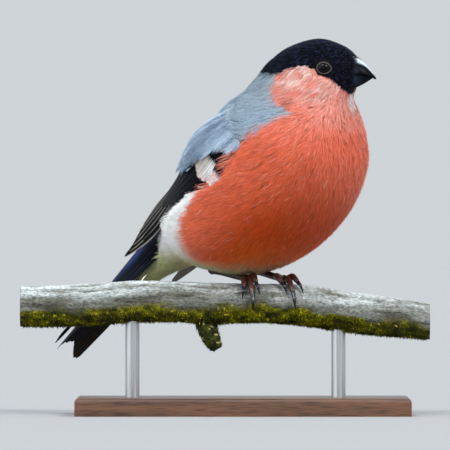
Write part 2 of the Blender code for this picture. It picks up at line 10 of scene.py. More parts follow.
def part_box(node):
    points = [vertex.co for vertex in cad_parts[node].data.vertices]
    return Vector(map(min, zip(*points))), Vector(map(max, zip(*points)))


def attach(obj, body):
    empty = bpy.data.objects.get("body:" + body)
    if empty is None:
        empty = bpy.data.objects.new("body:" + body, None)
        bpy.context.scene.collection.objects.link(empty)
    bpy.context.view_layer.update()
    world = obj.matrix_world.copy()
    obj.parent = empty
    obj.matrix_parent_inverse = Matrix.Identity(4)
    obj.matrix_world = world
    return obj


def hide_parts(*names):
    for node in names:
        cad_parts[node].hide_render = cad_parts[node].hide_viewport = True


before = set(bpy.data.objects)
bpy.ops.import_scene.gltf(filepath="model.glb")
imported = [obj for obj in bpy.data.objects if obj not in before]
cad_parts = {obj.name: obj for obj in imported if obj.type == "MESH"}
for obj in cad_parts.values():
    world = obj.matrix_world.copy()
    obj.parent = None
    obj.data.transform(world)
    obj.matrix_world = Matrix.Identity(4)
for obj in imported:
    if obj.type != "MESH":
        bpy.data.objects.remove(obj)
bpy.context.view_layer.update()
bpy.ops.object.select_all(action="DESELECT")

# Display board
# The board of the stand is planed walnut with round corners and a softly broken upper edge,
# oiled to a satin finish. It lies flat and takes the two rods in drilled holes.
MM = 0.001
BOARD_CORNER = 9.0 * MM
BOARD_EDGE = 1.3 * MM


def paint(red, green, blue):
    """A colour from its screen values, 0 to 255, as the light values that a shader takes."""
    levels = np.array([red, green, blue]) / 255.0
    return np.where(levels <= 0.04045, levels / 12.92, ((levels + 0.055) / 1.055) ** 2.4)


def new_finish(name, roughness=0.5, metallic=0.0, coat=0.0, sheen=0.0, specular=0.5):
    finish = bpy.data.materials.new(name)
    finish.use_nodes = True
    shader = shader_of(finish)
    shader.inputs["Roughness"].default_value = roughness
    shader.inputs["Metallic"].default_value = metallic
    shader.inputs["Coat Weight"].default_value = coat
    shader.inputs["Sheen Weight"].default_value = sheen
    shader.inputs["Specular IOR Level"].default_value = specular
    return finish


def shader_of(finish):
    return finish.node_tree.nodes["Principled BSDF"]


def ramp_of(finish, source, stops):
    """Colours for the values of a source, given as pairs of value and colour."""
    ramp = finish.node_tree.nodes.new("ShaderNodeValToRGB")
    while len(ramp.color_ramp.elements) < len(stops):
        ramp.color_ramp.elements.new(0.5)
    for element, (place, colour) in zip(ramp.color_ramp.elements, stops):
        element.position = place
        element.color = (*colour, 1.0)
    finish.node_tree.links.new(source, ramp.inputs["Fac"])
    return ramp.outputs["Color"]


def noise_over(finish, place, scale, detail):
    """Noise over the given coordinates, with its own size along each axis."""
    mapping = finish.node_tree.nodes.new("ShaderNodeMapping")
    mapping.inputs["Scale"].default_value = scale
    noise = finish.node_tree.nodes.new("ShaderNodeTexNoise")
    noise.inputs["Scale"].default_value = 1.0
    noise.inputs["Detail"].default_value = detail
    finish.node_tree.links.new(place, mapping.inputs["Vector"])
    finish.node_tree.links.new(mapping.outputs["Vector"], noise.inputs["Vector"])
    return noise.outputs["Fac"]


def stretched_noise(finish, scale, detail):
    """Noise on the piece's own coordinates."""
    place = finish.node_tree.nodes.new("ShaderNodeTexCoord")
    return noise_over(finish, place.outputs["Object"], scale, detail)


def add_bump(finish, source, strength, distance):
    bump = finish.node_tree.nodes.new("ShaderNodeBump")
    bump.inputs["Strength"].default_value = strength
    bump.inputs["Distance"].default_value = distance
    finish.node_tree.links.new(source, bump.inputs["Height"])
    finish.node_tree.links.new(bump.outputs["Normal"], shader_of(finish).inputs["Normal"])


def colour_by(finish, colour):
    finish.node_tree.links.new(colour, shader_of(finish).inputs["Base Color"])


def multiply_by(finish, tone, share=1.0):
    """Multiplies the colour that a finish already takes by the tone of another."""
    mixer = finish.node_tree.nodes.new("ShaderNodeMix")
    mixer.data_type = "RGBA"
    mixer.blend_type = "MULTIPLY"
    mixer.inputs["Factor"].default_value = share
    first = shader_of(finish).inputs["Base Color"].links[0].from_socket
    finish.node_tree.links.new(first, mixer.inputs["A"])
    finish.node_tree.links.new(tone, mixer.inputs["B"])
    colour_by(finish, mixer.outputs["Result"])


def fit_out(piece, finish, slot, *nodes):
    """Gives a finished piece its material and its body, and hides the nodes it stands for; its slot is not
    used.
    """
    piece.data.materials.append(finish)
    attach(piece, "root")
    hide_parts(*nodes)


def is_corner(edge):
    run = edge.verts[0].co - edge.verts[1].co
    return abs(run.z) > abs(run.x) + abs(run.y)


def is_upper_edge(edge):
    return min(v.co.z for v in edge.verts) > high.z - 0.01 * MM


low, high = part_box("stand_base")
bpy.ops.mesh.primitive_cube_add(size=1.0, location=(low + high) / 2)
board = bpy.context.object
board.name = "display_board"
board.scale = high - low
bpy.ops.object.transform_apply(location=True, rotation=True, scale=True)
bpy.ops.object.mode_set(mode="EDIT")
for chosen, offset, segments in ((is_corner, BOARD_CORNER, 12), (is_upper_edge, BOARD_EDGE, 4)):
    bpy.ops.mesh.select_all(action="DESELECT")
    shell = bmesh.from_edit_mesh(board.data)
    for edge in shell.edges:
        edge.select_set(chosen(edge))
    bmesh.update_edit_mesh(board.data)
    bpy.ops.mesh.bevel(offset=offset, segments=segments)
bpy.ops.object.mode_set(mode="OBJECT")
bpy.ops.object.shade_smooth_by_angle(angle=math.radians(35))

walnut = new_finish("oiled_walnut", roughness=0.42, coat=0.12)
year_rings = stretched_noise(walnut, (9.0, 130.0, 90.0), 3.0)
pores = stretched_noise(walnut, (160.0, 2600.0, 2600.0), 2.0)
colour_by(walnut, ramp_of(walnut, year_rings, (
    (0.3, paint(62, 38, 24)), (0.5, paint(96, 62, 40)), (0.66, paint(74, 46, 29)))))
multiply_by(walnut, ramp_of(walnut, pores, ((0.36, (0.45, 0.42, 0.4)), (0.5, (1, 1, 1)))))
add_bump(walnut, pores, 0.25, 0.2 * MM)
fit_out(board, walnut, "stand_wood", "stand_base")

# Rods
# Two straight steel rods, 4.8 mm thick and brushed lengthwise. They are let into the board
# and into the underside of the branch, so the solids already have their true shape.
steel = new_finish("brushed_steel", roughness=0.32, metallic=1.0)
brushing = stretched_noise(steel, (2600.0, 2600.0, 40.0), 2.0)
colour_by(steel, ramp_of(steel, brushing, ((0.3, (0.42, 0.43, 0.44)), (0.7, (0.62, 0.63, 0.64)))))
add_bump(steel, brushing, 0.2, 0.05 * MM)
for name in ("stand_rod_left", "stand_rod_right"):
    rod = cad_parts[name]
    rod.data.materials.clear()
    rod.data.materials.append(steel)

# Branch
# A cut length of dead branch, 13 to 14 mm thick: bleached, wrinkled bark on top, olive moss
# and lichen underneath, a broken mossy stub below, and two clean saw cuts at its ends. The
# bark has painted shade, darker underneath, and a painted highlight along the top.
# Place along it, height and radius
BRANCH_STATIONS = (
    (-68.6, 36.4, 7.0), (-52.0, 36.6, 6.9), (-28.0, 38.0, 7.0), (-2.0, 37.7, 6.6),
    (16.0, 37.5, 6.7), (28.0, 36.7, 7.0), (42.0, 34.5, 6.9), (68.6, 31.4, 6.4))
BRANCH_STEPS = 60
BRANCH_SIDES = 112
STUB_ROOT = (-6.6, 0.6, 34.5)
STUB_TIP = (-2.6, -1.6, 22.2)
STUB_RADII = (4.4, 3.6, 3.3, 3.0, 2.6, 1.6)
STUB_RINGS = 40
STUB_SIDES = 48
CRACK_DEPTH = 0.34
rod_low, rod_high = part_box("stand_rod_left")
BRANCH_Y = (rod_low.y + rod_high.y) / 2 / MM


def smooth_rows(rows, steps):
    """Rows of numbers joined by a smooth curve, with the given steps between two rows."""
    table = np.array(rows, dtype=float)
    padded = np.vstack([2 * table[0] - table[1], table, 2 * table[-1] - table[-2]])
    share = (np.arange(steps) / steps)[:, None]
    result = []
    for index in range(len(table) - 1):
        before, start, end, after = padded[index:index + 4]
        result.append(0.5 * (
            2 * start + (end - before) * share
            + (2 * before - 5 * start + 4 * end - after) * share ** 2
            + (3 * start - before - 3 * end + after) * share ** 3))
    return np.vstack(result + [table[-1:]])


def grain(points, size, seed):
    """Soft random relief between -1 and 1 at each point, with lumps of the given size."""
    place = np.asarray(points, dtype=float) / size
    cell = np.floor(place).astype(np.int64)
    part = place - cell
    part = part * part * (3 - 2 * part)
    total = np.zeros(len(place))
    for corner in range(8):
        step = np.array([corner & 1, corner >> 1 & 1, corner >> 2 & 1])
        spot = cell + step
        key = spot[:, 0] * 73856093 ^ spot[:, 1] * 19349663 ^ spot[:, 2] * 83492791
        key = key ^ (seed + 1) * 49979687
        key = (key ^ key >> 13) * 1274126177 & 0xFFFFFFFF
        key = (key ^ key >> 16) * 668265263 & 0xFFFFFFFF
        total += (key / 0x7FFFFFFF - 1.0) * np.prod(np.where(step, part, 1 - part), axis=1)
    return total


def mix(low_value, high_value, share):
    share = np.clip(np.asarray(share, dtype=float), 0.0, 1.0)[..., None]
    return np.asarray(low_value) * (1 - share) + np.asarray(high_value) * share


def step_between(value, start, end):
    share = np.clip((np.asarray(value, dtype=float) - start) / (end - start), 0.0, 1.0)
    return share * share * (3 - 2 * share)


def unit(vectors, least=0.0):
    """The same directions with length 1."""
    return vectors / (np.linalg.norm(vectors, axis=-1)[..., None] + least)


def mesh_piece(name, points, faces):
    """An object from points in metres and an array of faces that all have equal length."""
    points = np.ascontiguousarray(points, dtype=np.float32).reshape(-1, 3)
    faces = np.ascontiguousarray(faces, dtype=np.int32)
    corners = faces.shape[1]
    mesh = bpy.data.meshes.new(name)
    mesh.vertices.add(len(points))
    mesh.vertices.foreach_set("co", points.ravel())
    mesh.loops.add(faces.size)
    mesh.loops.foreach_set("vertex_index", faces.ravel())
    mesh.polygons.add(len(faces))
    mesh.polygons.foreach_set("loop_start", np.arange(0, faces.size, corners, dtype=np.int32))
    mesh.polygons.foreach_set("use_smooth", np.full(len(faces), True))
    mesh.update(calc_edges=True)
    piece = bpy.data.objects.new(name, mesh)
    bpy.context.scene.collection.objects.link(piece)
    return piece


def mark(piece, colours):
    """The piece's own colouring, one colour for each point of its mesh."""
    layer = piece.data.color_attributes.new("marking", "FLOAT_COLOR", "POINT")
    opaque = np.ones((len(colours), 4), dtype=np.float32)
    opaque[:, :3] = colours
    layer.data.foreach_set("color", opaque.ravel())


def marked_finish(name, **surface):
    """A finish that takes its base colour from the piece's own colouring."""
    finish = new_finish(name, **surface)
    reader = finish.node_tree.nodes.new("ShaderNodeAttribute")
    reader.attribute_name = "marking"
    colour_by(finish, reader.outputs["Color"])
    return finish


def solid_piece(name, points, faces):
    """A mesh piece that is closed, with its faces turned outward."""
    piece = mesh_piece(name, points, faces)
    shell = bmesh.new()
    shell.from_mesh(piece.data)
    bmesh.ops.recalc_face_normals(shell, faces=shell.faces)
    shell.to_mesh(piece.data)
    shell.free()
    return piece


def ring_triangles(rows, columns, bands):
    """Triangles between rings of points, for the given number of bands from ring to ring."""
    row, column = np.meshgrid(np.arange(bands), np.arange(columns), indexing="ij")
    right = (column + 1) % columns
    low_row = row * columns
    high_row = (row + 1) % rows * columns
    quads = np.stack([low_row + column, low_row + right, high_row + right, high_row + column], -1)
    return np.vstack([quads[..., [0, 1, 2]].reshape(-1, 3), quads[..., [0, 2, 3]].reshape(-1, 3)])


def shell_of(rings):
    """Points and triangles of a closed tube through the rings, with a middle point at both ends."""
    count, sides = rings.shape[:2]
    centres = np.stack([rings[0].mean(axis=0), rings[-1].mean(axis=0)])
    around = np.arange(sides)
    ahead = (around + 1) % sides
    last = (count - 1) * sides
    bottom = np.stack([ahead, around, np.full(sides, last + sides)], -1)
    top = np.stack([last + around, last + ahead, np.full(sides, last + sides + 1)], -1)
    between = ring_triangles(count, sides, count - 1)
    return np.vstack([rings.reshape(-1, 3), centres]), np.vstack([between, bottom, top])


def closed_tube(name, rings):
    return solid_piece(name, *shell_of(rings))


def with_ends(values):
    """Values at the points of the rings, with those of the middle points of both ends added."""
    return np.vstack([values, values[:1], values[-1:]])


branch_rows = smooth_rows(BRANCH_STATIONS, BRANCH_STEPS)
x = np.repeat(branch_rows[:, :1], BRANCH_SIDES, axis=1)
angle = np.arange(BRANCH_SIDES) * 2 * math.pi / BRANCH_SIDES
ring_y = np.tile(np.cos(angle), (len(x), 1))
ring_z = np.tile(np.sin(angle), (len(x), 1))
height_share = ring_z.ravel()
unrolled = np.stack([x * 0.14, ring_y * 6.8, ring_z * 6.8], -1).reshape(-1, 3)


def bark_grain(size, seed, along=1):
    """Relief of the bark; the higher the value along the branch, the shorter its lumps there."""
    return grain(unrolled * (along, 1, 1), size, seed)


wrinkle = bark_grain(0.55, 1) * 0.10 + bark_grain(1.3, 2) * 0.17
lumps = bark_grain(5.0, 3, 2.2) * 0.26
crack = -CRACK_DEPTH * step_between(bark_grain(0.9, 4), 0.52, 0.8)
pores = bark_grain(0.42, 5, 7) * 0.06
moss_side = step_between(-height_share + 0.30 * bark_grain(2.6, 6, 3), 0.02, 0.42)
moss_lumps = (bark_grain(0.8, 7, 7) * 0.16 + bark_grain(0.38, 8, 7) * 0.10) * moss_side
relief = ((wrinkle + crack) * (1 - 0.6 * moss_side) + pores + lumps + moss_lumps).reshape(x.shape)
swelling = 0.8 * np.exp(-((x + 5.5) / 6.5) ** 2) * np.clip(-ring_z, 0, 1)
reach = branch_rows[:, 2:3] - 0.16 + relief + swelling
branch_points = np.stack([x, BRANCH_Y + ring_y * reach, branch_rows[:, 1:2] + ring_z * reach], -1)
branch = closed_tube("branch", branch_points * MM)

bleached_lit_and_shaded = mix(paint(118, 114, 102), paint(206, 208, 204), 0.5 + 0.9 * (wrinkle + pores) / 0.27)
bleached_lit_and_shaded = mix(bleached_lit_and_shaded, paint(102, 96, 80), step_between(bark_grain(3.2, 9, 2), 0.25, 0.75) * 0.6)
bleached_lit_and_shaded = mix(bleached_lit_and_shaded, paint(70, 64, 52), -crack / CRACK_DEPTH)
# Painted shade: the bark is darkened toward the underside of the branch.
bleached_lit_and_shaded = mix(bleached_lit_and_shaded * (0.42, 0.40, 0.36), bleached_lit_and_shaded, step_between(height_share + 0.2 * lumps, -0.05, 0.62))
mossy = mix(paint(74, 74, 0), paint(134, 130, 2), 0.5 + 0.6 * bark_grain(0.8, 10, 7))
mossy = mix(mossy, paint(34, 34, 6), 0.4 + 0.6 * bark_grain(2.0, 11, 5) - 0.4 * height_share)
mossy = mix(mossy, paint(176, 160, 60), step_between(bark_grain(1.0, 12, 6), 0.62, 0.8) * 0.8)
bleached_lit_and_shaded = bleached_lit_and_shaded * (0.66, 0.71, 0.75) * (1 + 0.3 * bark_grain(0.7, 13, 7))[:, None]
# Painted highlight: the bark is brightened along the top of the branch.
bleached_lit_and_shaded = bleached_lit_and_shaded * (1 + 0.5 * step_between(height_share, 0.72, 0.98))[:, None]
branch_colour = np.clip(mix(bleached_lit_and_shaded, mossy, moss_side), 0, 1)
pith = mix(paint(190, 168, 128), paint(150, 124, 84), np.array([0.5, 0.5]))
mark(branch, np.vstack([branch_colour, pith]))

bark = marked_finish("weathered_bark", roughness=0.88, specular=0.25)
fibres = stretched_noise(bark, (900.0, 2600.0, 2600.0), 5.0)
multiply_by(bark, ramp_of(bark, fibres, ((0.34, (0.42, 0.42, 0.40)), (0.6, (1.2, 1.2, 1.2)))), 0.9)
add_bump(bark, fibres, 0.6, 0.25 * MM)
fit_out(branch, bark, "bark", "perch")


def swept_rings(path, radii, sides, squash=1.0):
    """Rings of points round a path, in the path's own unit; they turn with it and don't twist."""
    path = np.asarray(path, dtype=float)
    forward = unit(np.gradient(path, axis=0))
    side = np.cross(forward[0], (0.0, 0.0, 1.0))
    if np.linalg.norm(side) < 0.1:
        side = np.array((1.0, 0.0, 0.0))
    sides_of = []
    for direction in forward:
        side = unit(side - direction * side.dot(direction))
        sides_of.append(side)
    side = np.array(sides_of)
    up = np.cross(side, forward)
    turn = np.arange(sides) * 2 * math.pi / sides
    radii = np.asarray(radii, dtype=float).reshape(len(path), -1)
    offset = side[:, None] * np.cos(turn)[:, None] + squash * up[:, None] * np.sin(turn)[:, None]
    return path[:, None] + offset * radii[:, :, None]


stub_share = np.linspace(0.0, 1.0, STUB_RINGS)
stub_path = np.outer(1 - stub_share, STUB_ROOT) + np.outer(stub_share, STUB_TIP) + (0, BRANCH_Y, 0)
stub_path[:, 0] -= 1.1 * np.sin(stub_share * math.pi)
stub_radii = np.interp(stub_share, np.linspace(0, 1, len(STUB_RADII)), STUB_RADII)
stub_flat = swept_rings(stub_path, stub_radii, STUB_SIDES).reshape(-1, 3)
stub_relief = grain(stub_flat, 1.0, 20) * 0.22 + grain(stub_flat, 0.5, 21) * 0.14
stub_middle = np.repeat(stub_path, STUB_SIDES, axis=0)
stub_flat = stub_flat + (stub_flat - stub_middle) * (stub_relief / 3.0)[:, None]
stub = closed_tube("branch_stub", stub_flat.reshape(STUB_RINGS, STUB_SIDES, 3) * MM)
stub_colour = mix(paint(22, 28, 6), paint(62, 66, 16), 0.5 + 0.7 * grain(stub_flat, 1.1, 22))
stub_colour = mix(stub_colour, paint(196, 186, 140), step_between(grain(stub_flat, 0.9, 23), 0.6, 0.8) * 0.8)
mark(stub, np.vstack([stub_colour, stub_colour[:2]]))
fit_out(stub, bark, "bark", "perch")

# Legs and feet
# The bare tarsi and the toes are covered with overlapping brown scutes, soft pads underneath
# clasp the bark, and every toe ends in its own curved claw of dark horn.
GAP = 0.32
TOE_RADIUS = 1.05
TARSUS_RADIUS = 1.15
HEEL_RADIUS = 1.5
SHIN_RADIUS = 1.9
FOOT_BACK_ANGLE = -20.0
RIGHT_FOOT_X = 7.4
LEFT_FOOT_X = 19.8
# Each toe: drift along X at its middle and end, end angle, claw angle, claw drift, knuckle lift
RIGHT_TOES = (
    (-0.9, -1.2, 50.0, 78.0, -1.6, 0.3), (1.0, 1.8, 72.0, 112.0, 2.0, 0.3),
    (2.2, 3.0, 34.0, 66.0, 4.2, 1.1), (-0.8, -1.4, -92.0, -128.0, -1.4, 0.2))
LEFT_TOES = (
    (-2.6, -0.8, 34.0, 62.0, 1.0, 1.1), (1.6, 3.0, 62.0, 104.0, 3.8, 0.3),
    (2.8, 4.6, 28.0, 58.0, 6.4, 1.0), (-0.6, -1.2, -92.0, -128.0, -1.2, 0.2))
ANKLE_RISE = 1.0
ANKLE_BACK = 2.6
HEEL_BACK = 12.2
HEEL_RISE = 2.6
HEEL_SPREAD = 1.0
SHIN_FORWARD = 6.0
SHIN_RISE = 8.0
BIRD_HEADING = -42.0
SCUTE_SPACING = 0.75
LIMB_SIDES = 28
CLAW_SIDES = 20


def around_branch(x, degrees, off):
    """A point off the bark, at an angle from the top of the branch toward the front."""
    table = smooth_rows(BRANCH_STATIONS, 8)
    height = np.interp(x, table[:, 0], table[:, 1])
    reach = np.interp(x, table[:, 0], table[:, 2]) + off
    lean = math.radians(degrees)
    return np.array((x, BRANCH_Y - reach * math.sin(lean), height + reach * math.cos(lean)))


def even_path(points, radii, spacing):
    """A smooth path through the points, with its radii, in steps of equal length."""
    table = smooth_rows([[*point, radius] for point, radius in zip(points, radii)], 16)
    run = np.concatenate([[0.0], np.cumsum(np.linalg.norm(np.diff(table[:, :3], axis=0), axis=1))])
    places = np.linspace(0.0, run[-1], max(int(run[-1] / spacing), 6))
    fine = np.stack([np.interp(places, run, column) for column in table.T], -1)
    return fine[:, :3], fine[:, 3], places


def stacked(points, faces):
    """The faces of several parts, once their points are put together in one list."""
    first = np.cumsum([0, *(len(entry) for entry in points)])
    return np.vstack([entry + start for entry, start in zip(faces, first)])


def join_shells(name, shells):
    """One object from several closed shells, each given as points, triangles and colours."""
    points, faces, colours = zip(*shells)
    piece = solid_piece(name, np.vstack(points) * MM, stacked(points, faces))
    mark(piece, np.vstack(colours))
    return piece


def scaly_limb(points, radii, tones, pads=0.0, seed=0):
    """A limb with scutes that overlap down its front, and pads under it at the joints."""
    path, radius, places = even_path(points, radii, 0.11)
    step = places / SCUTE_SPACING
    scute = (step % 1.0) ** 0.6
    rings = swept_rings(path, radius, LIMB_SIDES)
    turn = np.arange(LIMB_SIDES) * 2 * math.pi / LIMB_SIDES
    top = 0.5 + 0.5 * np.sin(turn)[None, :]
    swell = 1 + 0.07 * (scute[:, None] - 0.6) * top
    swell = swell + pads * (1 - top) * (0.5 + 0.5 * np.cos(2 * math.pi * places / 2.6))[:, None]
    rings = path[:, None] + (rings - path[:, None]) * swell[..., None]
    speck = grain(rings.reshape(-1, 3), 0.5, 40 + seed).reshape(rings.shape[:2])
    groove = step_between(scute, 0.35, 0.0)[:, None] * top
    colours = mix(*tones, 0.5 + 0.35 * speck + 0.3 * scute[:, None] * top - 0.5 * groove)
    return *shell_of(rings), with_ends(colours.reshape(-1, 3))


heading = math.radians(BIRD_HEADING)
forward = np.array((math.cos(heading), math.sin(heading), 0.0))
TARSUS_TONES = (paint(24, 15, 9), paint(64, 46, 32))
TOE_TONES = (paint(22, 8, 6), paint(70, 32, 22))
CLAW_TONES = (paint(34, 36, 44), paint(8, 9, 13))
scutes = marked_finish("scaled_leg_skin", roughness=0.42, coat=0.15)
add_bump(scutes, stretched_noise(scutes, (3000.0, 3000.0, 3000.0), 3.0), 0.35, 0.08 * MM)
claw_horn = marked_finish("claw_horn", roughness=0.25, specular=0.4, coat=0.2)
add_bump(claw_horn, stretched_noise(claw_horn, (2500.0, 2500.0, 2500.0), 2.0), 0.15, 0.05 * MM)

off = GAP + TOE_RADIUS
for side_name, foot_x, toes, outward in (
        ("right", RIGHT_FOOT_X, RIGHT_TOES, -1), ("left", LEFT_FOOT_X, LEFT_TOES, 1)):
    pad = around_branch(foot_x, FOOT_BACK_ANGLE, off + 0.35)
    toe_shells = [scaly_limb(
        [pad + (-1.3, 1.0, 0.5), pad, pad + (0.9, -1.1, 0.1)], (1.1, 1.6, 1.1), TOE_TONES)]
    claw_shells = []
    for number, (middle_drift, end_drift, end_angle, claw_angle, claw_drift, knuckle) in enumerate(toes):
        bow = (FOOT_BACK_ANGLE + end_angle) * 0.5
        late = FOOT_BACK_ANGLE + (end_angle - FOOT_BACK_ANGLE) * 0.8
        hook = (end_angle + claw_angle) * 0.5
        stations = [around_branch(foot_x + drift, degrees, off + lift) for drift, degrees, lift in (
            (0.0, FOOT_BACK_ANGLE, 0.0),
            (middle_drift * 0.6, (bow + FOOT_BACK_ANGLE) / 2, knuckle * 0.6),
            (middle_drift, bow, knuckle),
            ((middle_drift + end_drift) / 2, late, knuckle * 0.7),
            (end_drift, end_angle, 0.15))]
        tip = around_branch(foot_x + claw_drift, claw_angle, GAP - 0.1)
        claw_middle = around_branch(foot_x + (end_drift + claw_drift) / 2, hook, off + 0.35)
        toe_shells.append(scaly_limb(
            stations, (0.95, 1.0, 1.02, 0.9, 0.72), TOE_TONES, pads=0.10, seed=number))
        start = stations[-1] * 0.8 + stations[-2] * 0.2
        path, radius, places = even_path(
            [start, stations[-1] * 0.75 + claw_middle * 0.25, claw_middle, tip],
            (0.62, 0.66, 0.5, 0.08), 0.16)
        colours = mix(*CLAW_TONES, 0.2 + 0.9 * np.repeat(places / places[-1], CLAW_SIDES))
        claw_shells.append((*shell_of(swept_rings(path, radius, CLAW_SIDES)), with_ends(colours)))
    fit_out(join_shells("toes_" + side_name, toe_shells), scutes, "leg_skin", "foot_" + side_name)
    fit_out(join_shells("claws_" + side_name, claw_shells), claw_horn, "leg_skin", "foot_" + side_name)
    sideways = np.array((-math.sin(heading), math.cos(heading), 0.0)) * outward
    ankle = around_branch(foot_x, FOOT_BACK_ANGLE, off + ANKLE_RISE) - forward * ANKLE_BACK
    heel = ankle - forward * HEEL_BACK + sideways * HEEL_SPREAD + (0, 0, HEEL_RISE)
    knee = heel + forward * SHIN_FORWARD + sideways * HEEL_SPREAD + (0, 0, SHIN_RISE)
    tarsus = scaly_limb(
        [pad + (0.1, 0.0, -0.2), ankle, ankle * 0.67 + heel * 0.33, ankle * 0.34 + heel * 0.66, heel],
        (1.2, TARSUS_RADIUS, TARSUS_RADIUS, TARSUS_RADIUS, HEEL_RADIUS), TARSUS_TONES)
    shin = scaly_limb(
        [heel + (ankle - heel) * 0.05, heel, (heel + knee) / 2, knee],
        (1.2, HEEL_RADIUS, HEEL_RADIUS, SHIN_RADIUS), TARSUS_TONES, seed=5)
    fit_out(join_shells("tarsus_" + side_name, [tarsus, shin]), scutes, "leg_skin", "leg_" + side_name)

# Skin
# The bird's skin runs in one piece from the bill to the tail. It lies under the plumage by the
# depth of the feathers, is coloured like them but a fifth darker as painted shade, and sinks under
# the folded wings and the tail. There it is painted black: painted shadow, and under the tail
# also the black of the coverts.
BIRD_X = 14.2
HEAD_TURN = 30.0
NECK_PIVOT_X = 16.0
TURN_START_Z = 98.0
TURN_END_Z = 113.0
# Name, back X and Z, front X and Z and half width of each station, tail to bill
BODY_STATIONS = (
    ("undertail tip", -69.0, 42.6, -66.0, 37.4, 2.6),
    ("undertail", -60.0, 50.4, -54.4, 41.8, 3.6),
    ("tail root", -51.0, 62.0, -44.6, 46.8, 6.2),
    ("rump", -43.6, 70.6, -33.4, 50.0, 11.2),
    ("vent", -38.8, 75.0, -21.0, 48.0, 18.4),
    ("belly", -33.6, 80.2, -6.0, 47.2, 24.8),
    ("flank", -29.0, 86.0, 11.6, 54.0, 27.8),
    ("breast", -24.2, 92.4, 26.6, 66.2, 28.0),
    ("chest", -18.4, 99.0, 35.2, 80.2, 26.2),
    ("shoulder", -11.6, 104.2, 36.4, 91.2, 23.0),
    ("neck", -4.6, 108.4, 35.2, 99.6, 19.2),
    ("throat", 0.0, 113.0, 33.6, 105.0, 16.2),
    ("ear", 4.4, 118.2, 34.4, 108.8, 13.7),
    ("eye", 11.6, 123.3, 35.4, 111.4, 11.7),
    ("crown", 21.5, 126.0, 35.8, 114.6, 9.2),
    ("forehead", 30.0, 123.6, 35.6, 117.4, 6.2),
    ("bill root", 33.2, 120.6, 35.0, 119.2, 2.6),
)
# Points from station to station and around the body
BODY_STEPS = 22
BODY_COLUMNS = 276
BODY_ROUNDNESS = 2.12
BELLY_FULLNESS = 0.05
# Depth of the plumage over the skin at each station, tail to bill
COAT_STATIONS = (0, 2, 5, 8, 10, 11.5, 13, 16)
COAT_DEPTHS = (0.9, 1.3, 2.0, 2.0, 1.6, 1.1, 0.7, 0.5)
# Name, upper edge, lower edge, bulge and thickness of the folded wing, wrist to tip
WING_STATIONS = (
    ("wrist", (0.0, -17.5, 102.5), (10.0, -24.2, 91.0), 3.6, 2.6),
    ("coverts", (-20.0, -10.5, 95.2), (0.0, -27.2, 79.5), 5.3, 3.2),
    ("tertials", (-35.6, -4.6, 80.4), (-19.5, -24.2, 72.2), 1.9, 2.8),
    ("primaries", (-47.4, -3.4, 69.8), (-36.6, -15.2, 61.8), 2.6, 1.5),
    ("tip", (-55.0, -10.0, 54.6), (-55.6, -11.4, 53.2), 0.3, 0.9),
)
LEFT_WING_DROOP = 0.165
LEFT_WING_SPREAD = 0.04
TAIL_ROOT = (-42.0, 71.0)
TAIL_SLOPE = math.radians(47.0)
TAIL_SWING = math.radians(12.0)
TAIL_ROLL = math.radians(10.0)
TAIL_LENGTH = 66.0
TAIL_HALF_WIDTH = 5.6
TAIL_ARCH = 8.6
TAIL_TIP_ARCH = 3.6
TAIL_ARCH_POWER = 1.6
SWING_SOFTNESS = 4.0
EYE_PLACE = (25.0, 9.3, 115.9)
EYE_RADIUS = 2.7
EYE_LOOKS = (0.16, 1.0, 0.02)
EYE_LINE = (1.0, 0.0, -0.10)
LID_WIDE = 2.36
LID_TALL = 1.94
SOCKET_SLOPE = 1.5
BILL_RING = (4.9, 6.1)
BILL_RING_Z = 114.7
FACE_END_X = 32.6
FACE_STEP = 4.0


def turn_with_neck(points, share=1.0):
    """The head end of the body turns to the bird's left about the neck."""
    turn = share * math.radians(HEAD_TURN) * step_between(points[..., 2], TURN_START_Z, TURN_END_Z)
    ahead = points[..., 0] - NECK_PIVOT_X
    return np.stack([
        NECK_PIVOT_X + ahead * np.cos(turn) - points[..., 1] * np.sin(turn),
        ahead * np.sin(turn) + points[..., 1] * np.cos(turn),
        points[..., 2]], -1)


def eye_axes(hand):
    """Forward, upward and outward directions of an eye, in the head's own frame."""
    outward = unit(np.array(EYE_LOOKS) * (1.0, hand, 1.0))
    ahead = unit(np.array(EYE_LINE) - outward * np.dot(EYE_LINE, outward))
    return ahead, unit(np.cross(outward, ahead) * -hand), outward


def eye_centre(hand):
    return np.array(EYE_PLACE) * (1.0, hand, 1.0)


def swing_with_tail(points):
    """The hind end of the body bends to the bird's right, where the tail points."""
    behind = np.maximum(-points[..., 0] + TAIL_ROOT[0] + SWING_SOFTNESS, 0.0)
    bend = behind ** 2 / (behind + 2 * SWING_SOFTNESS)
    return np.stack([points[..., 0], points[..., 1] - bend * math.tan(TAIL_SWING), points[..., 2]], -1)


def in_place(points):
    """From the bird's own frame, in millimetres, to its place over the branch, in metres."""
    points = np.asarray(points, dtype=float)
    heading = math.radians(BIRD_HEADING)
    x, y, z = points[..., 0], points[..., 1], points[..., 2]
    return np.stack([
        BIRD_X + x * math.cos(heading) - y * math.sin(heading),
        BRANCH_Y + x * math.sin(heading) + y * math.cos(heading),
        z], -1) * MM


def grid_frame(surface):
    """Unit directions along, around and out of a closed grid of points."""
    along = np.gradient(surface, axis=0)
    wrapped = np.concatenate([surface[:, -1:], surface, surface[:, :1]], axis=1)
    around = (wrapped[:, 2:] - wrapped[:, :-2]) / 2
    return along, around, unit(np.cross(along, around), 1e-9)


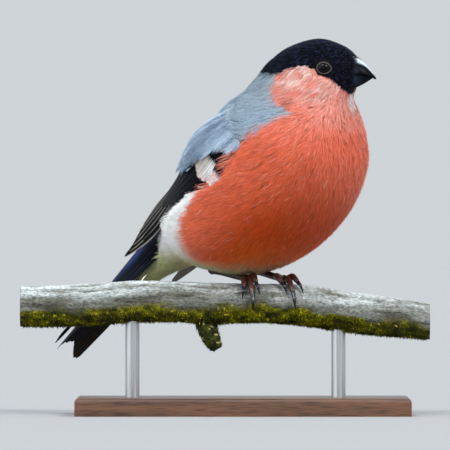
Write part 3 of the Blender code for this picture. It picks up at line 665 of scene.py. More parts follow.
rows = smooth_rows([station[1:] for station in BODY_STATIONS], BODY_STEPS)
turn = np.arange(BODY_COLUMNS) * 2 * math.pi / BODY_COLUMNS
up, side = (
    np.copysign(np.abs(wave) ** (2 / BODY_ROUNDNESS), wave)[None, :] for wave in (np.cos(turn), np.sin(turn)))
back_x, back_z, front_x, front_z, half_width = (rows[:, column:column + 1] for column in range(5))
outline = np.stack([
    (back_x + front_x) / 2 + up * (back_x - front_x) / 2,
    side * half_width * (1.0 - BELLY_FULLNESS * up),
    (back_z + front_z) / 2 + up * (back_z - front_z) / 2], -1)
outline = swing_with_tail(turn_with_neck(outline))
station = np.arange(len(rows)) / BODY_STEPS
depth = np.interp(station, COAT_STATIONS, COAT_DEPTHS)[:, None]
_, _, outward = grid_frame(outline)
skin_grid = outline - outward * depth[..., None]


def wing_grid(steps, columns):
    """Outer face of the right wing: points, its thickness and the way out, wrist to tip."""
    rows_of = [[*upper, *lower, bulge, thick] for _, upper, lower, bulge, thick in WING_STATIONS]
    table = smooth_rows(rows_of, steps)
    upper, lower, bulge, thick = table[:, :3], table[:, 3:6], table[:, 6], table[:, 7]
    along = np.gradient((upper + lower) / 2, axis=0)
    across = lower - upper
    out = unit(np.cross(across, along))
    away = (upper + lower) / 2 - np.array((-10.0, 0.0, 72.0))
    out *= np.sign(np.sum(out * away, axis=1))[:, None]
    share = np.linspace(0.0, 1.0, columns)
    points = upper[:, None] + across[:, None] * share[None, :, None]
    points += out[:, None] * (bulge[:, None] * 4 * share * (1 - share))[..., None]
    run = np.gradient(points, axis=0)
    over = np.gradient(points, axis=1)
    normal = unit(np.cross(over, run))
    normal *= np.sign(np.sum(normal * out[:, None], axis=2))[..., None]
    return points, normal, np.repeat(thick[:, None], columns, axis=1)


def to_left_wing(points):
    """The left wing is the right one mirrored, drooping a little and held a little away."""
    behind = -points[..., 0]
    return np.stack([
        points[..., 0],
        -points[..., 1] + LEFT_WING_SPREAD * behind,
        points[..., 2] - LEFT_WING_DROOP * behind], -1)


def to_left_direction(directions):
    return unit(to_left_wing(directions))


def tail_frame(points):
    """Distance along the tail from its root, to the left, and off its face."""
    ahead = TAIL_ROOT[0] - points[..., 0]
    right = -points[..., 1]
    rise = points[..., 2] - TAIL_ROOT[1]
    back = ahead * math.cos(TAIL_SWING) + right * math.sin(TAIL_SWING)
    across = ahead * math.sin(TAIL_SWING) - right * math.cos(TAIL_SWING)
    along = back * math.cos(TAIL_SLOPE) - rise * math.sin(TAIL_SLOPE)
    lift = back * math.sin(TAIL_SLOPE) + rise * math.cos(TAIL_SLOPE)
    roll = TAIL_ROLL * step_between(along, 10.0, 45.0)
    return along, across * np.cos(roll) - lift * np.sin(roll), across * np.sin(roll) + lift * np.cos(roll)


def from_tail_frame(along, across, lift):
    roll = TAIL_ROLL * step_between(along, 10.0, 45.0)
    y = across * np.cos(roll) + lift * np.sin(roll)
    up = -across * np.sin(roll) + lift * np.cos(roll)
    back = along * math.cos(TAIL_SLOPE) + up * math.sin(TAIL_SLOPE)
    return np.stack([
        TAIL_ROOT[0] - back * math.cos(TAIL_SWING) - y * math.sin(TAIL_SWING),
        y * math.cos(TAIL_SWING) - back * math.sin(TAIL_SWING),
        TAIL_ROOT[1] - along * math.sin(TAIL_SLOPE) + up * math.cos(TAIL_SLOPE)], -1)


def tail_arch_at(along, across):
    arch = TAIL_ARCH + (TAIL_TIP_ARCH - TAIL_ARCH) * np.clip(along / TAIL_LENGTH, 0, 1)
    return -arch * np.abs(across / TAIL_HALF_WIDTH) ** TAIL_ARCH_POWER


# Round the bill the face stops short, so that the bill's own base shows
face = turn_with_neck(skin_grid, -1.0)
bill_round = np.sqrt(
    (face[..., 1] / BILL_RING[0]) ** 2 + ((face[..., 2] - BILL_RING_Z) / BILL_RING[1]) ** 2)
face_limit = FACE_END_X + FACE_STEP * step_between(bill_round, 0.9, 1.35)
behind_bill = np.minimum(face[..., 0], np.where(face[..., 0] > 28.0, face_limit, 99.0))
face[..., 0] = np.where(face[..., 2] > 105.0, behind_bill, face[..., 0])

# Round each eye it forms a shallow socket for the lids
for hand in (1.0, -1.0):
    ahead, upward, outward_eye = eye_axes(hand)
    gap = face - eye_centre(hand)
    flat_x, flat_y, rise = gap @ ahead, gap @ upward, gap @ outward_eye
    ring = np.sqrt((flat_x / LID_WIDE) ** 2 + (flat_y / LID_TALL) ** 2) + 1e-6
    rim_rise = np.sqrt(np.maximum(EYE_RADIUS ** 2 - (flat_x ** 2 + flat_y ** 2) / ring ** 2, 0.2))
    limit = rim_rise - 0.75 + SOCKET_SLOPE * np.maximum(ring - 1.1, 0.0)
    press = np.where((rise > -2.0) & (ring < 3.5), np.maximum(rise - limit, 0.0), 0.0)
    face = face - outward_eye * press[..., None]
skin_grid = turn_with_neck(face)

# Under the tail the skin gives way by the tail's own thickness
along, across, lift = tail_frame(skin_grid)
roof = tail_arch_at(along, np.clip(across, -6.4, 6.4)) - 2.4
roof += 1.7 * np.maximum(np.abs(across) - 6.0, 0.0) + 1.2 * np.maximum(3.0 - along, 0.0)
under_tail = (along > -6.0) & (np.abs(across) < 14.0) & (lift > roof)
pushed = from_tail_frame(along, across, np.minimum(lift, roof))
skin_grid = np.where(under_tail[..., None], pushed, skin_grid)

# Under each wing it gives way too, and cover is how high the wing then stands over the skin
WING_GRID_STEPS = 14
WING_GRID_COLUMNS = 33
right_points, right_out, wing_thick = wing_grid(WING_GRID_STEPS, WING_GRID_COLUMNS)
wings = {
    "right": (right_points, right_out),
    "left": (to_left_wing(right_points), to_left_direction(right_out)),
}
flat_skin = skin_grid.reshape(-1, 3)
cover = np.zeros(len(flat_skin))
wing_gap = np.full(len(flat_skin), 99.0)
under_wing = np.zeros(len(flat_skin))
for wing_points, wing_out in wings.values():
    tree = KDTree(wing_points.shape[0] * wing_points.shape[1])
    for index, point in enumerate(wing_points.reshape(-1, 3)):
        tree.insert(point, index)
    tree.balance()
    sideways_gap = np.abs(flat_skin[:, None, 1] - wing_points[None, ::20, 16, 1])
    nearby = np.where(np.min(sideways_gap, axis=1) < 30)[0]
    found = np.array([tree.find(flat_skin[spot])[1] for spot in nearby])
    out = wing_out.reshape(-1, 3)[found]
    thick = wing_thick.reshape(-1)[found]
    gap = flat_skin[nearby] - wing_points.reshape(-1, 3)[found]
    above = np.sum(gap * out, axis=1)
    aside = np.linalg.norm(gap - out * above[:, None], axis=1)
    hold = 1.0 - step_between(aside, 0.9, 3.2)
    near_enough = (above > -14.0) & (above < 9.0)
    sink = np.clip(above + thick + 0.5, 0.0, 8.0) * hold * near_enough
    flat_skin[nearby] -= out * sink[:, None]
    stand = (thick + 0.5 + np.clip(-above - thick - 0.5, 0, 9)) * (1.0 - step_between(aside, 0.5, 1.6))
    close_by = (above > -8.0) & (above < 9.0)
    cover[nearby] = np.maximum(cover[nearby], np.where(close_by, np.maximum(stand, sink), 0.0))
    wing_gap[nearby] = np.minimum(wing_gap[nearby], np.where(close_by, aside, 99.0))
    inside = (1.0 - step_between(aside, 0.3, 1.2)) * near_enough
    under_wing[nearby] = np.maximum(under_wing[nearby], inside)
skin_grid = flat_skin.reshape(skin_grid.shape)
cover, wing_gap, under_wing = (
    values.reshape(skin_grid.shape[:2]) for values in (cover, wing_gap, under_wing))

# Markings: black cap and face, grey from the nape down the back, white rump, black coverts over
# the tail, white ones under it, and red from the cheek to the belly. Toward the underside the white
# is painted cream, and under the tail olive, as painted shade with a green reflection; the red has
# painted light on the front of the breast and a painted pale sheen along the throat's outline.
# Each border is a line over the body: station along the body against degrees from the back.
CAP_LINE = (
    (0, 11.36), (32, 11.38), (50, 11.46), (61, 11.62), (64, 11.95), (72, 12.33), (80, 12.5), (87, 12.5),
    (91, 12.66), (95, 12.56), (101, 12.34), (116, 12.33), (128, 12.17), (140, 12.04), (155, 11.79),
    (180, 11.45))
GREY_LINE = (
    (6.4, 78), (7.1, 86), (7.6, 87), (8.1, 90), (8.4, 95), (9.0, 99), (9.25, 105), (9.5, 111),
    (9.85, 119), (9.97, 104), (10.1, 88), (10.4, 75), (10.9, 64), (11.4, 58), (12.0, 50))
WHITE_LINE = (
    (0, 5.3), (50, 5.6), (74, 6.3), (84, 6.4), (87, 5.75), (91, 5.3), (98, 4.95), (106, 4.68), (118, 4.4),
    (134, 4.5), (146, 4.8), (154, 5.05), (169, 5.25), (180, 5.3))
UNDERTAIL_STATION = 2.9
RED_UPPER = paint(244, 136, 114)
RED_BREAST = paint(232, 108, 74)
# Painted light: a brighter red on the front of the breast.
RED_LIT = paint(255, 124, 92)
RED_CHEEK = paint(218, 156, 144)
CHEEK_PALE = paint(250, 230, 226)
CHEEK_DEEP = paint(226, 112, 92)
CHEEK_BROWN = paint(168, 84, 66)
RED_BELLY = paint(228, 84, 4)
RED_UNDER = paint(250, 112, 0)
RED_FLANK = paint(246, 118, 74)
GREY_BACK = paint(160, 180, 196)
GREY_NAPE = paint(152, 168, 179)
BLACK_CAP = paint(5, 6, 13)
WHITE_RUMP = paint(250, 250, 248)
# Painted shade with a green reflection: the white vent turns cream toward the underside, olive under the
# tail.
VENT_SHADE_CREAM = paint(212, 204, 150)
UNDERTAIL_SHADE_OLIVE = paint(212, 218, 160)
# Painted sheen: a near-white rim along the throat's outline.
THROAT_RIM_SHEEN = paint(252, 240, 236)
THROAT_PINK = paint(255, 168, 152)


def marking_at(stations, degrees, points):
    """Colour of the plumage, and which tract it is, at places given on the body."""
    aside = np.abs(degrees)
    ragged = 0.16 * grain(points, 2.2, 31) + 0.10 * grain(points, 0.9, 32)
    cap = stations + 0.5 * ragged - np.interp(aside, *zip(*CAP_LINE))
    grey = np.interp(stations, *zip(*GREY_LINE)) - aside + 26 * ragged
    white = np.interp(aside, *zip(*WHITE_LINE)) - stations + 1.2 * ragged
    soft = 0.5 + 0.5 * grain(points, 6.0, 33)
    patchy = grain(points * (1.0, 1.0, 1.6), 2.3, 34)
    brown = np.hypot((stations - 10.25) / 0.4, (aside - 101) / 12) + 0.3 * patchy
    # Where the throat's outline lies; a near-white rim is painted there as sheen.
    strip = np.interp(stations, (9.9, 11.3), (158, 172))
    red = RED_BREAST
    for tone, share in (
            (RED_UPPER, step_between(stations, 8.0, 9.6) * (0.6 + 0.4 * soft)),
            (RED_LIT, 0.7 * step_between(aside, 140, 170) * step_between(stations, 7.0, 8.0)),
            (RED_BELLY, step_between(stations, 8.2, 6.2) * step_between(aside, 95, 150)),
            (RED_UNDER, step_between(stations, 6.5, 5.6) * step_between(aside, 125, 160)),
            (RED_CHEEK, step_between(stations, 9.7, 11.0) * (0.65 + 0.35 * soft)),
            (CHEEK_PALE, step_between(patchy, 0.05, 0.7) * step_between(stations, 10.2, 11.3) * 0.65),
            (CHEEK_DEEP, step_between(patchy, -0.1, -0.6) * step_between(stations, 9.4, 10.8) * 0.7),
            (CHEEK_BROWN, 0.6 * step_between(brown, 1.0, 0.3)),
            (THROAT_PINK, 0.6 * step_between(stations, 8.9, 9.9) * step_between(aside, 128, 156)),
            (RED_FLANK, step_between(stations, 6.4, 5.2) * step_between(aside, 140, 90) * 0.8),
            (THROAT_RIM_SHEEN, step_between(stations, 9.8, 10.8) * step_between(np.abs(degrees - strip), 13, 6))):
        red = mix(red, tone, share)
    ash = mix(GREY_BACK, GREY_NAPE, step_between(stations, 9.0, 10.6))
    colour = mix(red, ash, step_between(aside, 82, 68) * step_between(stations, 7.2, 6.8))
    pale = mix(WHITE_RUMP, VENT_SHADE_CREAM, step_between(aside, 104, 150))
    # Painted shade with a green reflection on the white undertail coverts.
    olive_shade = step_between(stations + 0.3 * ragged, 2.75, 2.4) * step_between(aside, 70, 84)
    pale = mix(pale, UNDERTAIL_SHADE_OLIVE, olive_shade)
    soft_edge = 0.3 + 0.2 * step_between(aside, 100, 125)
    colour = mix(colour, pale, step_between(white / soft_edge, -1.0, 1.0))
    saddle = np.maximum(step_between(stations, 5.2, 5.5), step_between(aside, 75, 60))
    colour = mix(colour, ash, step_between(grey, -3.0, 3.0) * (white < 0) * saddle)
    over_tail = step_between(stations + 0.8 * ragged, 3.9, 3.6) * step_between(aside, 74, 66)
    colour = mix(colour, BLACK_CAP, over_tail)
    colour = mix(colour, BLACK_CAP, step_between(cap, -0.03, 0.03))
    tract = np.select(
        [cap > 0, white > 0, (grey > 0) & (stations > 5.2), stations > 9.7, stations > 7.4],
        ["cap", "white", "grey", "cheek", "breast"], "belly")
    tract = np.where((tract == "white") & (stations < UNDERTAIL_STATION), "undertail", tract)
    tract = np.where(over_tail > 0.5, "uppertail", tract)
    return colour, tract


def unwrap(row, column, ground=None):
    """A grid laid flat: around the body from left to right, tail to bill from low to high."""
    if ground is None or ground["closed"]:
        around_share = (column / BODY_COLUMNS + 0.5) % 1.0
    else:
        around_share = np.clip(column / (ground["columns"] - 1), 0, 1)
    last = len(rows) - 1 if ground is None else ground["rows"] - 1
    return np.stack([0.02 + 0.96 * around_share, 0.02 + 0.96 * row / last], -1)


def bake_map(piece, coordinates, name="OFBake"):
    """A map with one place for each point of the mesh; the one to bake on is named OFBake."""
    layer = piece.data.uv_layers.new(name=name)
    corner = np.empty(len(piece.data.loops), dtype=np.int32)
    piece.data.loops.foreach_get("vertex_index", corner)
    layer.data.foreach_set("uv", np.ascontiguousarray(coordinates[corner], dtype=np.float32).ravel())


row_index, column_index = np.meshgrid(np.arange(len(rows)), np.arange(BODY_COLUMNS), indexing="ij")
grid_degrees = column_index * 360.0 / BODY_COLUMNS
grid_degrees = np.where(grid_degrees > 180, grid_degrees - 360, grid_degrees)
skin = closed_tube("skin", in_place(skin_grid))
skin_colour, grid_tract = marking_at(
    (row_index / BODY_STEPS).ravel(), grid_degrees.ravel(), outline.reshape(-1, 3))
# Painted shadow: skin under the wings and tail is painted black; elsewhere it is a fifth darker as painted
# shade under the coat.
shadowed_under_cover = (under_wing > 0.5) | (under_tail & (np.abs(grid_degrees) < 100))
mark(skin, with_ends(mix(skin_colour * 0.8, BLACK_CAP, shadowed_under_cover.ravel())))
bake_map(skin, with_ends(unwrap(row_index.ravel(), column_index.ravel())))
down = marked_finish("skin_and_down", roughness=0.9, specular=0.1)
add_bump(down, stretched_noise(down, (2200.0, 2200.0, 2200.0), 3.0), 0.5, 0.3 * MM)
fit_out(skin, down, "breast_plumage", "trunk", "neck", "head")

# Eyes
# Glass eyes: dark brown irises with wide pupils under a clear, wet-looking front. A thin ring of
# bare lid frames each one, its rim pale grey, partly the lid's own colour and partly a painted
# reflection; the lids belong to the skin and are joined to it.
# Section through a lid: share of its outline, and height over the eyeball there
LID_SECTION = (
    (0.86, -0.35), (0.90, -0.02), (0.95, 0.13), (1.01, 0.16), (1.07, 0.06), (1.13, -0.16),
    (1.3, -0.55), (1.5, -1.1), (1.3, -1.9), (1.0, -1.6))


def head_place(points):
    """From the head's own frame, before it turns with the neck, to the display, in metres."""
    return in_place(turn_with_neck(np.asarray(points, dtype=float)))


glass = marked_finish("eye_glass", roughness=0.03, specular=0.13)
iris_streaks = stretched_noise(glass, (3500.0, 3500.0, 3500.0), 2.0)
multiply_by(glass, ramp_of(glass, iris_streaks, ((0.3, (0.7, 0.7, 0.7)), (0.7, (1.2, 1.2, 1.2)))))

lid_objects = []
for side_name, hand in (("left", 1.0), ("right", -1.0)):
    centre = eye_centre(hand)
    ahead, upward, outward_eye = eye_axes(hand)
    polar = np.linspace(0.0, math.pi, 49)[1:-1, None]
    round_eye = (np.arange(64) * 2 * math.pi / 64)[None, :]
    ball = centre + EYE_RADIUS * (
        outward_eye * np.cos(polar)[..., None]
        + ahead * (np.sin(polar) * np.cos(round_eye))[..., None]
        + upward * (np.sin(polar) * np.sin(round_eye))[..., None])
    points, faces = shell_of(ball)
    away = np.degrees(np.arccos(np.clip((points - centre) @ outward_eye / EYE_RADIUS, -1, 1)))
    iris = mix(paint(2, 2, 3), paint(18, 8, 6), step_between(away, 27, 31))
    iris = mix(iris, paint(4, 3, 3), step_between(away, 38, 48))
    shell = (head_place(points) / MM, faces, iris)
    fit_out(join_shells("eye_ball_" + side_name, [shell]), glass, "eye_gloss", "eye_" + side_name)
    around_lid = (np.arange(72) * 2 * math.pi / 72)[:, None]
    section = np.array(LID_SECTION)[None]
    corner = 0.25 * np.maximum(np.cos(around_lid), 0.0) ** 12
    flat_x = LID_WIDE * section[..., 0] * np.cos(around_lid) + corner
    flat_y = LID_TALL * section[..., 0] * np.sin(around_lid)
    base = np.sqrt(np.maximum((EYE_RADIUS + 0.02) ** 2 - (LID_WIDE * np.cos(around_lid)) ** 2
                              - (LID_TALL * np.sin(around_lid)) ** 2, 0.2))
    inner = np.sqrt(np.maximum((EYE_RADIUS + 0.02) ** 2 - flat_x ** 2 - flat_y ** 2, 0.1))
    base = np.where(section[..., 0] < 1.0, inner, base)
    lid = centre + ahead * flat_x[..., None] + upward * flat_y[..., None]
    lid = lid + outward_eye * (base + section[..., 1])[..., None]
    triangles = ring_triangles(*lid.shape[:2], len(lid))
    # The raised rim of each lid is painted pale grey: partly its own colour, partly a painted reflection.
    lid_rim_grey_and_reflection = np.broadcast_to((section[..., 1] > 0.1), lid.shape[:2]).reshape(-1)
    lid_colour = np.where(lid_rim_grey_and_reflection[:, None], paint(88, 86, 86), paint(10, 10, 12))
    lid_points = head_place(lid.reshape(-1, 3)) / MM
    lid_piece = join_shells("lid_" + side_name, [(lid_points, triangles, lid_colour)])
    bake_map(lid_piece, np.repeat(np.array([[0.985, 0.5 + 0.2 * hand]]), len(lid_piece.data.vertices), 0)
             + 0.01 * np.stack([flat_x.ravel(), flat_y.ravel()], -1) / 3)
    lid_piece.data.materials.append(down)
    lid_objects.append(lid_piece)

bpy.ops.object.select_all(action="DESELECT")
for lid_piece in lid_objects:
    lid_piece.select_set(True)
skin.select_set(True)
bpy.context.view_layer.objects.active = skin
bpy.ops.object.join()
bpy.ops.object.select_all(action="DESELECT")

# Bill
# A short, deep, swollen bill of polished black horn. The upper half is hooked and overlaps the
# lower, whose cutting edges tuck up inside it. A pale highlight is painted along the ridge, and a
# blue-grey sheen is painted by the gape.
BILL_BASE_X = 33.0
BILL_LENGTH = 7.9
BILL_TOP_Z = 120.0
BILL_CUT_Z = 113.9
BILL_BOTTOM_Z = 109.2
BILL_TIP_Z = 113.2
BILL_HOOK = 0.8
BILL_HALF_WIDTH = 4.3
BILL_LOWER_SHARE = 0.86
BILL_BURIED = -0.32
BILL_SIDES = 56
BILL_SHEEN_BLUE = paint(36, 44, 58)


def bill_profile(share):
    """Heights of the ridge, cutting edge and keel, and the half width, base to tip."""
    ahead = np.maximum(share, 0.0)
    ridge = BILL_TOP_Z + (BILL_TIP_Z - BILL_HOOK / 2 - BILL_TOP_Z) * ahead ** 1.75 - share * (1 - share)
    cutting = BILL_CUT_Z + (BILL_TIP_Z - BILL_HOOK - BILL_CUT_Z) * ahead ** 5
    keel = BILL_BOTTOM_Z + (BILL_CUT_Z - BILL_HOOK - BILL_BOTTOM_Z) * ahead ** 1.5
    width = np.maximum(BILL_HALF_WIDTH * (1 - ahead ** 1.7) ** 0.72, 0.2)
    return ridge, cutting, keel, width


share = np.linspace(BILL_BURIED, 1.0, 60)[:, None]
ridge, cutting, keel, width = bill_profile(share)
turn = (np.arange(BILL_SIDES) * 2 * math.pi / BILL_SIDES)[None, :]
over = np.maximum(np.sin(turn), 0.0)
under = np.maximum(-np.sin(turn), 0.0)
height = np.maximum(ridge - cutting, 0.35)
upper = np.stack(np.broadcast_arrays(
    BILL_BASE_X + BILL_LENGTH * share,
    width * np.cos(turn) * (1 - 0.10 * over ** 3),
    cutting - 0.18 + (height + 0.18) * over ** 0.94
    + 0.5 * (0.3 - under) * np.minimum(under * 4, 1) * (share < 0.96)), -1)
points, faces = shell_of(upper)
grown = grain(points * (0.5, 3, 3), 1.0, 50)
over_share = np.append(np.tile(over.ravel(), len(share)), [0.0, 0.0])
horn = mix(paint(4, 5, 9), paint(12, 16, 24), 0.5 + 0.5 * grown)
# Painted highlight: a pale band along the top of the upper half, narrowing toward the tip.
toward_tip = step_between(points[:, 0], 34.0, 39.5)
painted_light = over_share + 0.03 * grown - 0.14 * toward_tip
horn = mix(horn, paint(184, 196, 204), step_between(painted_light, 0.66, 0.86))
# Painted sheen: a blue-grey patch on the upper half by the gape.
gape = step_between(points[:, 0], 36.4, 34.2) * step_between(points[:, 2], 117.0, 115.4)
horn = mix(horn, BILL_SHEEN_BLUE, gape * (0.6 + 0.5 * grown))
horn = mix(horn, paint(8, 10, 16), step_between(points[:, 0], 39.6, 40.7) * 0.7)
bill_gloss = marked_finish("bill_horn", roughness=0.34, specular=0.04)
add_bump(bill_gloss, stretched_noise(bill_gloss, (900.0, 900.0, 2600.0), 3.0), 0.12, 0.06 * MM)
bill_half = join_shells("bill_upper_half", [(head_place(points) / MM, faces, horn)])
fit_out(bill_half, bill_gloss, "bill_horn", "bill_upper")

height = np.maximum(BILL_CUT_Z - keel, 0.3)
lower = np.stack(np.broadcast_arrays(
    BILL_BASE_X + BILL_LENGTH * BILL_LOWER_SHARE * share,
    0.93 * width * np.cos(turn) * (1 - 0.08 * under ** 3),
    BILL_CUT_Z - 0.05 - 0.35 * np.maximum(share, 0) ** 3 - height * under ** 0.9
    + 0.35 * np.minimum(over * 4, 1) * np.abs(np.cos(turn)) ** 0.3), -1)
points, faces = shell_of(lower)
grown = grain(points * (0.5, 3, 3), 1.0, 51)
near_edge = step_between(points[:, 2], 112, 114)
horn = mix(paint(4, 5, 8), paint(16, 22, 30), 0.45 + 0.3 * grown - 0.25 * near_edge)
# Painted sheen: a blue-grey patch on the lower half by the gape.
gape = step_between(points[:, 0], 37.2, 34.4) * step_between(points[:, 2], 109.6, 111.2)
horn = mix(horn, BILL_SHEEN_BLUE, gape * (0.65 + 0.5 * grown))
bill_half = join_shells("bill_lower_half", [(head_place(points) / MM, faces, horn)])
fit_out(bill_half, bill_gloss, "bill_horn", "bill_lower")

# Bristles
# Stiff black bristles grow forward from the face over the base of the bill and hide the
# nostrils. Each is a single flat strand that tapers to a point.
BRISTLES = 420
BRISTLE_WIDTH = 0.16
BLADE_FACES = ((0, 1, 3), (0, 3, 2), (2, 3, 4))
bristle_dice = np.random.default_rng(7)


def repeated(faces, size, count):
    """The faces of one small part of the given size, over again for every such part."""
    return (np.arange(count)[:, None, None] * size + np.array(faces)[None]).reshape(-1, 3)


turn = bristle_dice.random(BRISTLES) * 2 * math.pi
top_share = np.clip(np.sin(turn), 0, 1)
ring_share = 0.93 + (0.20 - 0.19 * top_share ** 2) * bristle_dice.random(BRISTLES)
root = np.stack([
    32.2 + 0.5 * bristle_dice.random(BRISTLES), 4.45 * ring_share * np.cos(turn),
    114.7 + 5.5 * ring_share * np.sin(turn)], -1)
reach = 1.1 + 1.4 * np.sin(2 * np.arcsin(top_share)) + 0.9 * bristle_dice.random(BRISTLES)
outside = np.stack([0 * turn, np.cos(turn), np.sin(turn)], -1)
beside = np.stack([0 * turn, -np.sin(turn), np.cos(turn)], -1)
strands = []
for share_along, inward in ((0.0, 0.0), (0.45, 0.12), (1.0, 0.55)):
    stray = bristle_dice.normal(0, 0.18, (BRISTLES, 1)) * share_along
    strands.append(root + (1.0, 0.0, 0.0) * (reach * share_along)[:, None]
                   + outside * (0.35 - inward) + beside * stray)
half_strand = beside * BRISTLE_WIDTH / 2
strand_points = np.stack([
    strands[0] - half_strand, strands[0] + half_strand, strands[1] - half_strand, strands[1] + half_strand,
    strands[2]], 1)
bristles = mesh_piece(
    "bill_bristles", head_place(strand_points.reshape(-1, 3)), repeated(BLADE_FACES, 5, BRISTLES))
# Each bristle is black, tinted at random toward the blue-grey of the painted sheen.
mark(bristles, np.repeat(mix(BLACK_CAP, BILL_SHEEN_BLUE, 0.5 * bristle_dice.random(BRISTLES)), 5, axis=0))
bristle_map = np.stack([turn / (2 * math.pi), ring_share - 0.8], -1)
bake_map(bristles, np.repeat(0.02 + 0.95 * bristle_map, 5, axis=0))
bristle_black = marked_finish("bristle_black", roughness=0.5, specular=0.2)
fit_out(bristles, bristle_black, "black_plumage", "head")

# Tail
# Twelve blue-black tail feathers, folded over each other like a roof, the middle pair on top.
# Each is a solid vane with a raised shaft, and its barbs run out and back from the shaft.
# A blue sheen is painted in a band on each side of the roof.
TAIL_DARK = paint(3, 4, 9)
TAIL_UNDERSIDE = paint(46, 40, 36)
TAIL_SHEEN_BLUE = paint(44, 64, 122)
VANE_STEPS = 44
VANE_ACROSS = 15
VANE_THICKNESS = 0.11
SHAFT_RISE = 0.13


def vane(place, width, colour, length, patch, seed, below):
    """A solid feather: place gives points for distance along and across it and height over it."""
    u = np.linspace(0.0, 1.0, VANE_STEPS)[:, None]
    v = np.linspace(-1.0, 1.0, VANE_ACROSS)[None, :]
    v = np.sign(v) * np.abs(v) ** 1.3
    key = np.stack(np.broadcast_arrays(u * 9.0 + seed * 7.7, np.sign(v) * 2.0, seed * 1.7), -1)
    ragged = grain(key.reshape(-1, 3), 1.0, 60).reshape(key.shape[:2])
    x = v * width(u) * (1 + 0.07 * ragged * np.abs(v) ** 3)
    shaft = SHAFT_RISE * np.exp(-(x / 0.32) ** 2) * (1 - 0.7 * u)
    crown = -0.03 * x ** 2
    top = place(u, x, shaft + crown)
    bottom = place(u, x, crown - VANE_THICKNESS)
    grid_points = np.concatenate([top.reshape(-1, 3), bottom.reshape(-1, 3)])
    row, column = np.meshgrid(np.arange(VANE_STEPS - 1), np.arange(VANE_ACROSS - 1), indexing="ij")
    first = row * VANE_ACROSS + column
    face = np.stack([first, first + 1, first + VANE_ACROSS + 1, first + VANE_ACROSS], -1).reshape(-1, 4)
    lower = VANE_STEPS * VANE_ACROSS
    quads = [face, face[:, ::-1] + lower]
    last_row = (VANE_STEPS - 1) * VANE_ACROSS
    for line in (
            np.arange(VANE_ACROSS), last_row + np.arange(VANE_ACROSS)[::-1],
            np.arange(VANE_STEPS)[::-1] * VANE_ACROSS, np.arange(VANE_STEPS) * VANE_ACROSS + VANE_ACROSS - 1):
        quads.append(np.stack([line[1:], line[:-1], line[:-1] + lower, line[1:] + lower], -1))
    quads = np.vstack(quads)
    dark_shaft = np.exp(-(x / 0.16) ** 2)[..., None]
    tone = colour(u + 0 * x, v + 0 * x, x) * (1 - 0.45 * dark_shaft) * (1 + 0.10 * ragged)[..., None]
    tones = np.vstack([tone.reshape(-1, 3), mix(tone, below, 0.85).reshape(-1, 3)])
    barb = np.stack([(u * length - 1.5 * np.abs(x)) / 10 + seed * 0.37, x / 10 + seed * 0.19], -1)
    bake = np.stack([
        patch[0] + patch[2] * (0.05 + 0.9 * u) + 0 * x, patch[1] + patch[3] * (0.5 + 0.42 * v) + 0 * x], -1)
    barb, bake = (np.tile(places.reshape(-1, 2), (2, 1)) for places in (barb, bake))
    return grid_points, quads, tones, barb, bake


def join_vanes(name, vanes, finish, slot, *nodes_under):
    """One object from several feathers, with their colours, barb pattern and baking map."""
    points, quads, tones, barbs_of, bake = zip(*vanes)
    piece = solid_piece(name, in_place(np.vstack(points)), stacked(points, quads))
    mark(piece, np.clip(np.vstack(tones), 0, 1))
    bake_map(piece, np.vstack(bake))
    bake_map(piece, np.vstack(barbs_of), "barbs")
    fit_out(piece, finish, slot, *nodes_under)


def vane_finish(name, roughness):
    """Black feather, its colour broken up by streaks that run along its barbs."""
    finish = marked_finish(name, roughness=roughness, specular=0.03)
    barb_place = finish.node_tree.nodes.new("ShaderNodeUVMap")
    barb_place.uv_map = "barbs"
    streaks = noise_over(finish, barb_place.outputs["UV"], (38.0, 2.2, 1.0), 3.0)
    multiply_by(finish, ramp_of(finish, streaks, ((0.3, (0.72, 0.72, 0.72)), (0.68, (1.15, 1.15, 1.15)))))
    add_bump(finish, streaks, 0.35, 0.12 * MM)
    return finish


tail_gloss = vane_finish("tail_vane_gloss", 0.42)
